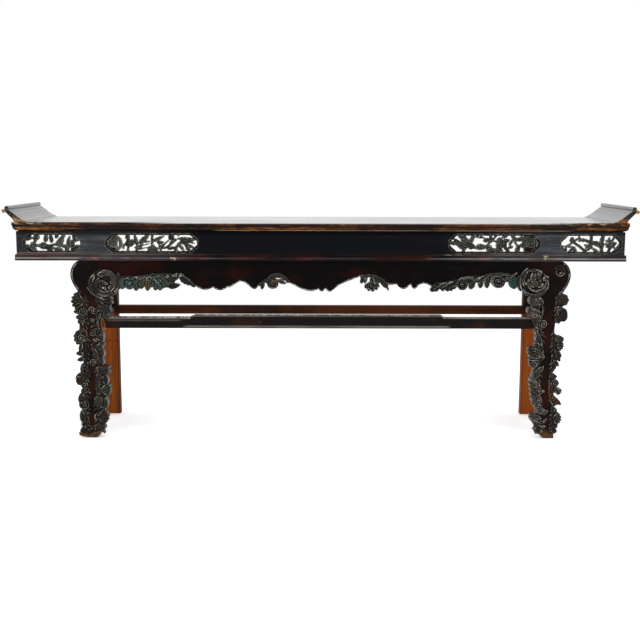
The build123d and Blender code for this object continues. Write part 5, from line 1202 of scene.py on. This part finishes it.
FOLIAGE_LEFT = [
    ("frill", [(113, 281), (122, 281), (134, 281), (146, 280), (158, 279), (168, 278)],
     9.0, LICHEN, dict(lift=-2)),
    ("leaf", 117.2, 281.6, 84, 18, 8.4, GREY, dict(veins=4)),
    ("bud", 121.6, 283.2, 3.4, 6.4, LICHEN),
    ("bud", 128.8, 283.4, 5.6, 6.2, TEAL),
    ("curl", 128.4, 284.0, 4.4, TEAL, dict(start=80, lift=4)),
    ("leaf", 135.4, 284.2, 88, 14.0, 6.0, LICHEN, dict(veins=3)),
    ("leaf", 140.8, 282.6, 84, 13.4, 6.8, GREEN, dict(veins=3)),
    ("leaf", 151.4, 281.4, 64, 13.0, 6.0, TEAL, dict(veins=3)),
    ("bud", 157.4, 282.6, 7.0, 6.8, LICHEN),
    ("fan", 157.4, 277.6, 13.4, 268, 104, 4, LICHEN),
    ("leaf", 146.8, 284.2, 90, 14.0, 5.4, OCHRE),
    ("leaf", 156.6, 282.4, 132, 12.0, 2.4, PALE, dict(lift=6)),
    ("bud", 167.0, 281.8, 6.6, 6.0, LICHEN),
    ("leaf", 165.0, 281.6, 128, 13.0, 4.4, LICHEN, dict(lift=4)),
    ("leaf", 170.0, 281.8, 118, 11.0, 4.0, GREY, dict(lift=4)),
    ("leaf", 173.4, 286.2, 8, 12.0, 5.4, DIM),
    ("leaf", 172.0, 278.8, 4, 12.0, 6.0, GREY, dict(veins=3)),
    ("leaf", 125.2, 277.8, 10, 9.0, 3.8, PALE, dict(lift=5)),
    ("leaf", 134.2, 278.0, 36, 7.0, 3.0, GREY, dict(lift=4)),
    ("leaf", 142.4, 277.4, 40, 9.0, 3.2, GREEN, dict(lift=4)),
    ("leaf", 149.4, 275.8, 34, 9.0, 2.8, PALE, dict(lift=5)),
    ("leaf", 156.8, 276.2, 30, 9.0, 3.4, LICHEN, dict(lift=4)),
    ("leaf", 163.2, 276.0, -30, 8.0, 3.2, GREY, dict(lift=4)),
    ("leaf", 167.2, 276.0, 60, 5.0, 2.6, PALE, dict(lift=8)),
    ("leaf", 185.4, 281.4, -32, 15.0, 6.4, DIM, dict(veins=4)),
    ("leaf", 191.8, 284.6, -44, 8.0, 4.4, DIM),
    ("stem", [(176, 275.6), (182, 276.4), (188, 280.2), (194, 285.2)], 3.0, DIM, dict(lift=3)),
    ("stem", [(181, 275.8), (186, 278.0), (191, 282.4), (194.4, 285.8)], 1.4, PALE, dict(lift=6, thick=4)),
    ("stem", [(119, 278.2), (126, 276.6), (132, 277.2)], 1.8, GREY, dict(lift=5, thick=4)),
    ("stem", [(136, 276.6), (144, 275.8), (152, 274.8)], 1.6, GREY, dict(lift=6, thick=4)),
    ("stem", [(155, 274.4), (166, 274.0), (172, 274.6)], 1.6, GREY, dict(lift=6, thick=4)),
    ("bud", 135.6, 277.4, 2.0, 1.2, PALE, dict(lift=8)),
    ("bud", 174.4, 275.4, 2.6, 1.3, PALE, dict(lift=9)),
    ("bud", 180.0, 275.6, 1.7, 1.1, PALE, dict(lift=9)),
]
FOLIAGE_RIGHT = [
    ("stem", [(436, 286.4), (448, 285.0), (458, 282.6), (468, 279.6), (480, 279.4), (494, 279.2),
              (506, 278.8)], 7.4, DIM, dict(lift=-2)),
    ("leaf", 437.4, 287.2, 28, 17.0, 6.4, DIM, dict(veins=3)),
    ("leaf", 441.6, 289.0, -62, 6.0, 3.4, DIM),
    ("leaf", 450.2, 286.2, 12, 16.0, 9.4, DIM, dict(veins=4)),
    ("leaf", 438.6, 286.0, 32, 13.0, 2.2, GREY, dict(lift=5)),
    ("leaf", 446.8, 284.4, 28, 13.0, 2.4, GREY, dict(lift=5)),
    ("leaf", 452.8, 286.6, 22, 11.0, 2.2, GREY, dict(lift=5)),
    ("leaf", 459.2, 281.0, 42, 10.4, 4.0, GREY),
    ("curl", 462.2, 285.0, 5.4, GREY, dict(start=60, hand=-1)),
    ("stem", [(463, 279.2), (467, 277.8), (472, 278.2)], 2.8, PALE, dict(lift=4)),
    ("leaf", 472.2, 284.0, 66, 12.0, 5.8, GREY, dict(veins=3)),
    ("leaf", 476.4, 279.6, 30, 11.0, 3.0, GREY, dict(lift=4)),
    ("leaf", 480.8, 282.8, 80, 11.4, 5.0, GREY),
    ("leaf", 487.2, 283.0, 82, 11.0, 4.6, GREY),
    ("leaf", 484.8, 279.4, 48, 10.0, 2.8, PALE, dict(lift=4)),
    ("bud", 498.2, 281.2, 7.2, 7.2, DIM, dict(lift=0)),
    ("curl", 498.2, 281.6, 6.2, GREY, dict(start=180, turns=1.8)),
    ("arc", 498.0, 281.8, 8.6, 6.4, 60, 190, GREY, dict(lift=4)),
    ("stem", [(482.5, 277.4), (488, 275.0), (497, 274.0), (506, 274.4), (511.5, 277)],
     3.0, GREY, dict(lift=4)),
    ("leaf", 507.4, 278.4, 30, 11.0, 3.4, GREY, dict(lift=3)),
    ("leaf", 512.8, 282.2, 102, 14.4, 8.6, TEAL),
    ("leaf", 519.4, 283.6, 100, 16.0, 5.0, GREY),
    ("leaf", 512.8, 275.6, 38, 10.0, 2.8, PALE, dict(lift=5)),
]
FLOWER_LEFT = [
    ("leaf", 262.0, 284.8, 82, 10, 4.2, DIM),
    ("stem", [(259, 284.6), (264, 281.4), (268, 280)], 3.4, GREY),
    ("bud", 272.2, 283.6, 5.8, 5.4, GREY),
    ("curl", 272.2, 284.0, 4.2, DIM, dict(start=80, lift=5)),
    ("leaf", 276.6, 281.2, 6, 15, 3.2, OCHRE, dict(lift=3)),
    ("leaf", 282.0, 282.8, -14, 7.6, 3.0, GREY),
    ("stem", [(266, 281.6), (270.4, 276.4), (276.8, 274.6), (282.8, 276.6), (287.6, 281.4)],
     3.6, GREY, dict(lift=3)),
]
FLOWER_RIGHT = [
    ("leaf", 362.0, 280.6, 58, 7.0, 3.6, DIM),
    ("leaf", 383.4, 283.4, -56, 13, 6.0, GREY, dict(veins=4)),
    ("leaf", 386.8, 287.4, -66, 7.6, 2.6, GREY),
    ("fan", 371.8, 280.4, 11.6, 262, 96, 4, GREY),
    ("curl", 370.4, 286.2, 4.0, DIM, dict(start=90, lift=5)),
    ("leaf", 376.2, 282.6, -60, 12, 3.6, PALE, dict(lift=4)),
    ("stem", [(361.6, 278.0), (367, 275.8), (373.6, 277.2), (379.6, 281.6)], 3.4, GREY, dict(lift=3)),
    ("stem", [(368, 275.6), (375, 276.4), (382, 280.2), (386.6, 285.4)], 2.8, GREY, dict(lift=3)),
    ("leaf", 365.6, 280.4, 64, 7.4, 2.4, PALE, dict(lift=4)),
]

# ---------------------------------------------------------------- openwork, mm from each opening's middle
# a stem is its points and width, a leaf or blade x, z, angle, length and width, a bud or curl x, z and radius
OPENWORK = {
    "outer_left": dict(
        stems=[([(-72, 42), (-72, 10), (-80, -4)], 9), ([(83, 39), (87, 19), (81, -13)], 9),
               ([(-68, -9), (-46, -16), (-14, -13), (7, -7), (32, -13), (57, -18), (71, -16)], 8)],
        leaves=[(-67, 21, 30, 26, 18), (-100, 17, 10, 38, 12), (-98, -16, -20, 34, 12),
                (-80, -11, -60, 30, 14), (-77, -28, -10, 18, 9), (-28, 20, 85, 34, 14),
                (-7, 19, 100, 36, 11), (16, 28, 80, 20, 11), (32, 14, 50, 63, 13), (37, 5, 65, 36, 10),
                (-37, -13, -15, 36, 22), (-11, -21, -5, 30, 22), (23, -27, -10, 34, 14),
                (57, -25, 90, 18, 14), (71, -4, 80, 32, 14), (99, 11, 15, 30, 10), (92, -21, 30, 40, 18),
                (48, -14, -10, 24, 12), (-103, 35, 40, 24, 8)],
        buds=[(71, -6, 8), (-37, -13, 7)],
        blades=[(64, 10, 70, 40, 12), (-52, -8, 30, 34, 10), (88, 4, 60, 36, 7)]),
    "inner_left": dict(
        stems=[([(0, 34), (0, -13)], 8), ([(24, 8), (32, -16), (35, -34)], 7),
               ([(35, -18), (58, -18), (97, 13)], 8), ([(129, 8), (147, -23)], 10),
               ([(-100, -22), (-100, -36)], 8)],
        leaves=[(-101, 26, 95, 26, 12), (-90, 0, 20, 40, 20), (-67, 12, 105, 50, 9),
                (-33, 16, 40, 50, 14), (-46, -10, 60, 26, 9), (-57, -21, -15, 30, 8),
                (-64, -29, -60, 14, 7), (-20, 5, 5, 24, 6), (1, -26, 80, 34, 26), (27, 18, 25, 50, 10),
                (45, -9, 5, 16, 6), (79, 26, 90, 26, 16), (84, 8, 35, 30, 7), (110, 34, 60, 14, 6),
                (136, 18, 0, 60, 9), (144, 8, 10, 60, 14), (79, -21, 10, 30, 9), (100, -16, 60, 34, 8),
                (118, -16, -50, 40, 9), (100, -31, 90, 16, 8), (155, -13, -20, 36, 9),
                (149, -26, -30, 24, 8)],
        buds=[(-90, 0, 6), (1, -20, 7)],
        blades=[(-32, -8, 12, 54, 6), (-36, -22, 14, 46, 6), (34, 2, 0, 30, 14), (-118, -14, 80, 26, 9),
                (62, 6, 40, 40, 8), (160, 2, -14, 36, 7), (166, -16, -24, 30, 6), (22, -24, 60, 26, 10)]),
    "inner_right": dict(
        stems=[([(-126, -29), (-103, 0), (-90, 26)], 9), ([(-38, -16), (-22, -1), (-7, 15), (9, 33)], 7)],
        leaves=[(-166, 1, -10, 44, 10), (-149, 7, -35, 40, 10), (-142, -8, -20, 40, 8),
                (-126, 23, -40, 56, 16), (-93, 15, 65, 46, 12), (-121, -3, -30, 40, 14),
                (-134, -16, -30, 34, 10), (-93, -11, 0, 30, 16), (-72, -19, -15, 30, 7),
                (-53, -10, 0, 36, 12), (-27, 15, 15, 34, 11), (-14, 26, -60, 22, 7), (25, 20, 20, 22, 8),
                (30, 5, -20, 22, 8), (46, 31, 30, 26, 9), (46, 10, 20, 36, 13), (43, -6, -80, 34, 12),
                (20, -16, -75, 40, 14), (14, -27, 0, 44, 12), (-18, -21, 90, 26, 18),
                (53, -24, -45, 30, 10), (77, 28, 120, 20, 9), (98, 15, -20, 22, 9), (90, -1, -60, 26, 7),
                (69, -14, 20, 20, 8), (98, -21, 70, 34, 12), (134, 26, 20, 26, 9), (129, 7, 10, 24, 9),
                (124, 13, -50, 40, 14), (142, 2, 10, 36, 18), (160, 0, 0, 40, 20), (158, 23, 10, 34, 10),
                (116, -8, -80, 20, 10)],
        curls=[(155, 5, 17)],
        buds=[(17, 10, 11), (85, 18, 10), (-126, 20, 6)],
        blades=[(-64, 26, -10, 40, 9), (-40, 22, -30, 40, 8), (-34, -16, 20, 60, 8), (70, 6, 60, 34, 10),
                (28, -4, 90, 50, 14), (-2, 12, -30, 34, 10), (112, 24, 10, 30, 10)]),
    "outer_right": dict(
        stems=[([(-121, -8), (-122, -19), (-97, -34)], 6), ([(-121, -8), (-101, -13), (-97, -34)], 5),
               ([(-101, -13), (-68, 8), (-55, 19)], 6), ([(-68, 5), (-42, -12), (-13, -37)], 9),
               ([(-84, -32), (-68, -19), (-57, -37)], 8), ([(3, 38), (5, -3)], 9),
               ([(45, 3), (49, -39)], 10), ([(85, 3), (102, 34)], 6), ([(75, -34), (84, -15)], 8),
               ([(120, -6), (106, -28)], 8)],
        leaves=[(-75, 16, 80, 22, 14), (-77, -13, 0, 30, 8), (-66, -23, -20, 20, 14),
                (-46, 21, 90, 24, 8), (-28, 15, -5, 44, 12), (-9, 8, -25, 26, 9), (18, 5, 10, 34, 12),
                (-4, -12, 50, 34, 18), (-17, -8, -60, 14, 10), (24, -28, -35, 44, 10),
                (49, 18, 75, 44, 12), (44, -4, 90, 30, 20), (29, -3, 10, 24, 12), (64, -1, 0, 20, 7),
                (74, 8, -30, 24, 9), (77, 17, 80, 20, 8), (86, 10, 40, 20, 8), (86, -6, 20, 40, 16),
                (98, 3, 10, 20, 10), (97, -15, -30, 26, 8)],
        buds=[(-75, 14, 6), (44, -2, 8), (-4, -12, 6)]),
}


# ---------------------------------------------------------------- pieces
def cartouche(length, grow):
    """Outline of an opening with slanted corners."""
    a, b = length / 2 + grow, OPENING_HEIGHT / 2 + grow
    cx, cz = CORNER_LONG, CORNER_HIGH
    return [(-a + cx, -b), (a - cx, -b), (a, -b + cz), (a, b - cz),
            (a - cx, b), (-a + cx, b), (-a, b - cz), (-a, -b + cz)]


def rolled_leaf(r):
    """Large rolled leaf at the left end of the inner left panel."""
    for outer, inner in ((35, 30), (29.5, 25), (24.5, 20.5)):
        r.arc(-157, -2, outer, inner, -75, 80, PALE, lift=9.5, thick=7, taper=0.3)
    r.leaf(-160, 6, 24, 46, 24, MAUVE, lift=10, thick=8, veins=3)
    r.leaf(-150, -6, 70, 30, 14, MAUVE, lift=11, thick=8)
    r.leaf(-168, -8, 120, 22, 9, MAUVE, lift=10, thick=7)


def openwork(name):
    """Pierced panel: a thin rim in the opening's rebate and foliage in front of it."""
    middle, length = OPENINGS[name]
    parts = OPENWORK[name]
    reach = length / 2 + PANEL_MARGIN
    r = Relief((-reach, -PANEL_REACH), (reach, PANEL_REACH), FINE_GRID, seed=len(name) + int(length))
    outer = outline_distance(r.x, r.z, cartouche(length, REBATE))
    inner = outline_distance(r.x, r.z, cartouche(length, -PANEL_RIM))
    limit = outline_distance(r.x, r.z, cartouche(length, PANEL_SHOWN))
    r.ragged = np.where(outer > PANEL_SMOOTH, r.ragged, 0)
    r.lay(np.minimum(outer, -inner), np.full(r.x.shape, PANEL_RIM_HEIGHT), DIM)
    for points, width in parts["stems"]:
        r.stem(points, width * STEM_FULLER, GREY, lift=9, thick=6)
    fuller = INNER_LEAF_FULLER if name.startswith("inner") else OUTER_LEAF_FULLER
    for number, (x, z, angle, long, wide) in enumerate(parts["leaves"]):
        tone = LEAF_TONES[number % len(LEAF_TONES)]
        veins = 4 if wide >= 12 else 0
        r.leaf(x, z, angle, long * LEAF_LONGER, wide * fuller, tone, lift=9.5, thick=8.0, veins=veins)
    for x, z, radius in parts["buds"]:
        r.bud(x, z, radius, radius, PALE, lift=11, thick=7)
    for x, z, radius in parts.get("curls", []):
        r.curl(x, z, radius, GREY, lift=9.5, thick=8)
    for x, z, angle, long, wide in parts.get("blades", []):
        r.leaf(x, z, angle, long, wide, GREY, lift=10, thick=7)
    if name == "inner_left":
        rolled_leaf(r)
    r.height = np.where(limit > 0, r.height, np.minimum(r.height, PANEL_RIM_HEIGHT))
    r.inside = np.minimum(r.inside, outer)
    r.x = r.x + middle
    r.z = r.z + OPENING_MIDDLE
    node = "openwork_" + name
    # the deep rim paints a pale highlight round the outline of each form
    mesh = r.mesh(node, OPENWORK_BACK, OPENWORK_BACK, rim=5.0)
    show("carved_" + node, mesh, OPEN, "openwork_paint", node)


def on_hosts(r, *nodes):
    """Where the grid lies well inside the boards that carry the carving."""
    inside = [outline_distance(r.x, r.z, face_outline(node)) for node in nodes]
    return np.maximum.reduce(inside) > HOST_MARGIN


def leg_carving(name, forms, side, seed, contrast=6.0):
    """Vine along one edge of a front leg. It runs back beside the post where it stands past its edge."""
    low, high = relief_box(forms)
    r = Relief((low[0], max(low[1], VINE_LOW)), (high[0], min(high[1], VINE_HIGH)), LEG_GRID, seed)
    r.pixels(forms)
    back = np.where(on_hosts(r, "front_leg_" + side, "apron_board"), BURIED_BACK, CARVING_BACK)
    over_stretcher = (np.abs(r.x) < LEG_INNER + 1) & (r.z > STRETCHER_LOW) & (r.z < STRETCHER_HIGH)
    back = np.where(over_stretcher, STRETCHER_BACK, back)
    r.height = np.maximum(r.height, np.where(over_stretcher, STRETCHER_CUT, DEEPEST_CUT))
    mesh = r.mesh(name, LEG_FACE, back, contrast=contrast)
    show("carved_" + name, mesh, CARVED, "carving_paint", name)


def apron_carving(name, forms, seed):
    """Carving on the apron, which runs on behind where it hangs below the apron's edge."""
    low, high = relief_box(forms)
    r = Relief(low, high, FINE_GRID, seed)
    r.pixels(forms)
    hosts = on_hosts(r, "apron_board", "front_leg_left", "front_leg_right")
    r.height = np.maximum(r.height, DEEPEST_CUT)
    mesh = r.mesh(name, LEG_FACE, np.where(hosts, BURIED_BACK, APRON_BACK))
    show("carved_" + name, mesh, FOLIAGE, "carving_paint", name)


def roundel(name, forms, seed):
    """Curled flower over the corner of leg and apron."""
    low, high = relief_box(forms)
    r = Relief(low, high, ROUNDEL_GRID, seed)
    r.pixels(forms)
    r.height = np.maximum(r.height * ROUNDEL_DEPTH, 1.0)
    mesh = r.mesh(name, LEG_FACE, BURIED_BACK, spread=3.2, contrast=10.0)
    show("carved_" + name, mesh, ROUND, "carving_paint", name)


def ear_bead(side, sign):
    """Bead along the edge of an ear, a little way in."""
    loop = face_outline("front_leg_" + side)
    ear = [(x, z) for x, z in loop if abs(x) > EAR_FROM and EAR_LOW < z < EAR_HIGH]
    ear.sort(key=lambda point: point[1])
    inset = []
    for before, here, after in zip([ear[0]] + ear[:-1], ear, ear[1:] + [ear[-1]]):
        dx, dz = after[0] - before[0], after[1] - before[1]
        size = math.hypot(dx, dz) or 1.0
        inset.append((here[0] - sign * abs(dz) / size * EAR_INSET, here[1] + (dx * sign) / size * EAR_INSET))
    half_round("ear_bead_" + side, smooth_line(inset, 3), 1.9, LEG_FACE, BEAD_RISE, TRIM)


def apron_edge_bead():
    """Bead along the apron's lower edge."""
    loop = face_outline("apron_board")
    start = max(range(len(loop)), key=lambda i: loop[i][1] * 10 + loop[i][0])
    loop = loop[start:] + loop[:start]
    edge = [(x, z + APRON_BEAD_LIFT) for x, z in loop if z < APRON_HIGH and abs(x) < LEG_INNER - 1]
    half_round("apron_edge_bead", edge, 2.2, LEG_FACE, BEAD_RISE, TRIM)


def ear_scroll():
    """Scroll cut in the right ear."""
    x, z = at(*EAR_SCROLL_PIXEL)
    points, start, turn, outer, closer = 54, 150, 12, 25.0, 0.37
    line = []
    for k in range(points):
        a, radius = math.radians(start - turn * k), outer - closer * k
        line.append((x + radius * math.cos(a), z + radius * math.sin(a)))
    half_round("ear_scroll", line, 1.8, LEG_FACE, FINE_RISE, TRIM)


def stretcher_beads():
    """Beads along the arrises of the stretcher and round its raised middle."""
    for name, ends in STRETCHER_BEAD_PIXELS.items():
        places = [at(u, v, STRETCHER_FACE) for u, v in ends]
        line = [tuple(p + (q - p) * k / BEAD_PARTS for p, q in zip(*places)) for k in range(BEAD_PARTS + 1)]
        half_round("stretcher_bead_" + name, line, 2.4, STRETCHER_FACE, BEAD_RISE, TRIM)


def opening_rims():
    """Beads round the openings of the frieze. The ends of each ring overlap by half a mm."""
    for name, (centre, length) in OPENINGS.items():
        ring = [(x + centre, z + OPENING_MIDDLE) for x, z in cartouche(length, OPENING_RIM_OUT)]
        x, z = ring[0]
        ring = [(x + 9, z)] + ring[1:] + [(x, z), (x + 9.5, z)]
        half_round("rim_" + name, ring, 2.0, FRIEZE_FACE, FINE_RISE, RIM)


paint_nodes()
for opening in OPENINGS:
    openwork(opening)
leg_carving("vine_outer_left", VINE_OUTER_LEFT, "left", 11)
leg_carving("vine_inner_left", VINE_INNER_LEFT, "left", 12)
leg_carving("vine_outer_right", VINE_OUTER_RIGHT, "right", 13)
# a lower contrast gives this vine stronger painted highlights on its ridges and darker cuts
leg_carving("vine_inner_right", VINE_INNER_RIGHT, "right", 14, contrast=4.8)
apron_carving("apron_foliage_left", FOLIAGE_LEFT, 21)
apron_carving("apron_foliage_right", FOLIAGE_RIGHT, 22)
apron_carving("apron_flower_left", FLOWER_LEFT, 23)
apron_carving("apron_flower_right", FLOWER_RIGHT, 24)
roundel("roundel_left", ROUNDEL_LEFT, 31)
roundel("roundel_right", ROUNDEL_RIGHT, 32)
ear_bead("left", -1)
ear_bead("right", 1)
apron_edge_bead()
ear_scroll()
stretcher_beads()
opening_rims()

# ---------------------------------------------------------------- floor, light and camera
FLOOR_RADIUS = 3.4
FLOOR_MIDDLE = 0.6
FLOOR_SIDES = 96
# floor's own light, for rays that have to see white
FLOOR_GLOW = 0.45            # floor's own light, for rays of the camera, of reflections and through glass
DIFFUSE_WORLD = 0.74         # world's share that lights matt surfaces


def floor():
    """Plain pale floor."""
    mesh = bpy.data.meshes.new("floor")
    ring = []
    for k in range(FLOOR_SIDES):
        a = 2 * math.pi * k / FLOOR_SIDES
        ring.append((FLOOR_RADIUS * math.cos(a), FLOOR_RADIUS * math.sin(a) + FLOOR_MIDDLE, -0.001))
    mesh.from_pydata(ring, [], [tuple(range(FLOOR_SIDES))])
    f = Finish("floor", specular=0.1)
    white = f.mix(f.ramp(f.noise(2.0, 2), 0.3, 0.7), (0.93, 0.93, 0.93), (0.95, 0.95, 0.95))
    f.set("Emission Color", (1.0, 1.0, 1.0))
    f.set("Emission Strength", f.times(f.seen(), FLOOR_GLOW))
    mesh.materials.append(f.done(white, 0.9, f.bump(f.noise(60.0, 3), 0.0004, 0.2)))
    piece = bpy.data.objects.new("floor", mesh)
    bpy.context.collection.objects.link(piece)


def soft_light(name, place, aim, width, height, power):
    """Rectangular soft light turned towards a point; its power is in watts."""
    data = bpy.data.lights.new(name, "AREA")
    data.shape, data.size, data.size_y, data.energy = "RECTANGLE", width, height, power
    light = bpy.data.objects.new(name, data)
    light.location = place
    bpy.context.collection.objects.link(light)
    dx, dy, dz = [b - a for a, b in zip(place, aim)]
    tilt = math.pi / 2 + math.atan2(dz, math.hypot(dx, dy))
    light.rotation_euler = (tilt, 0, math.atan2(dy, dx) - math.pi / 2)


def background(n, strength=1.0):
    """White background of a strength."""
    return n.new("Background", {"Color": (1.0, 1.0, 1.0), "Strength": strength}).outputs[0]


def world():
    """White to the camera, in reflections and through glass; soft light from behind and above."""
    studio = bpy.data.worlds.new("studio")
    studio.use_nodes = True
    studio.node_tree.nodes.clear()
    n = Nodes(studio.node_tree)
    way = n.new("SeparateXYZ", {0: n.new("TexCoord").outputs["Generated"]}).outputs
    diffuse = n.new("LightPath").outputs["Is Diffuse Ray"]
    behind = n.ramp(way["Y"], -0.35, 0.25, 0.02, 1.25, "LINEAR")
    above = n.ramp(way["Z"], 0.25, 0.85, 0.0, 0.45, "LINEAR")
    level = n.most(behind, above, n.times(diffuse, 0.55))
    share = n.plus(n.times(diffuse, DIFFUSE_WORLD - 1.0), 1.0)
    soft, white = background(n, n.times(level, share)), background(n)
    mix = n.new("MixShader", {0: n.seen(), 1: soft, 2: white})
    n.new("OutputWorld", {"Surface": mix.outputs[0]})
    bpy.context.scene.world = studio


def camera():
    """The photograph's view."""
    data = bpy.data.cameras.new("camera")
    data.lens, data.sensor_width = FOCAL, SENSOR
    piece = bpy.data.objects.new("camera", data)
    bpy.context.collection.objects.link(piece)
    piece.location = CAMERA_PLACE
    piece.rotation_mode = "XYZ"
    turn = Matrix.Rotation(math.pi / 2 - CAMERA_PITCH, 4, "X") @ Matrix.Rotation(CAMERA_ROLL, 4, "Z")
    piece.rotation_euler = turn.to_euler("XYZ")
    bpy.context.scene.camera = piece


floor()
for side in (-1, 1):
    soft_light("softbox", (side * 1.85, -3.7, 1.4), (side * 0.6, 0, 0.7),
               width=0.85, height=2.2, power=12.5)
    soft_light("high softbox", (side * 2.0, -3.3, 3.3), (side * 0.7, 0, 0.4),
               width=1.3, height=1.1, power=17.5)
soft_light("overhead", (0, -0.6, 3.4), (0, 0, 0), width=3.4, height=2.0, power=67.0)
world()
camera()
bpy.context.scene.view_settings.view_transform = "Standard"
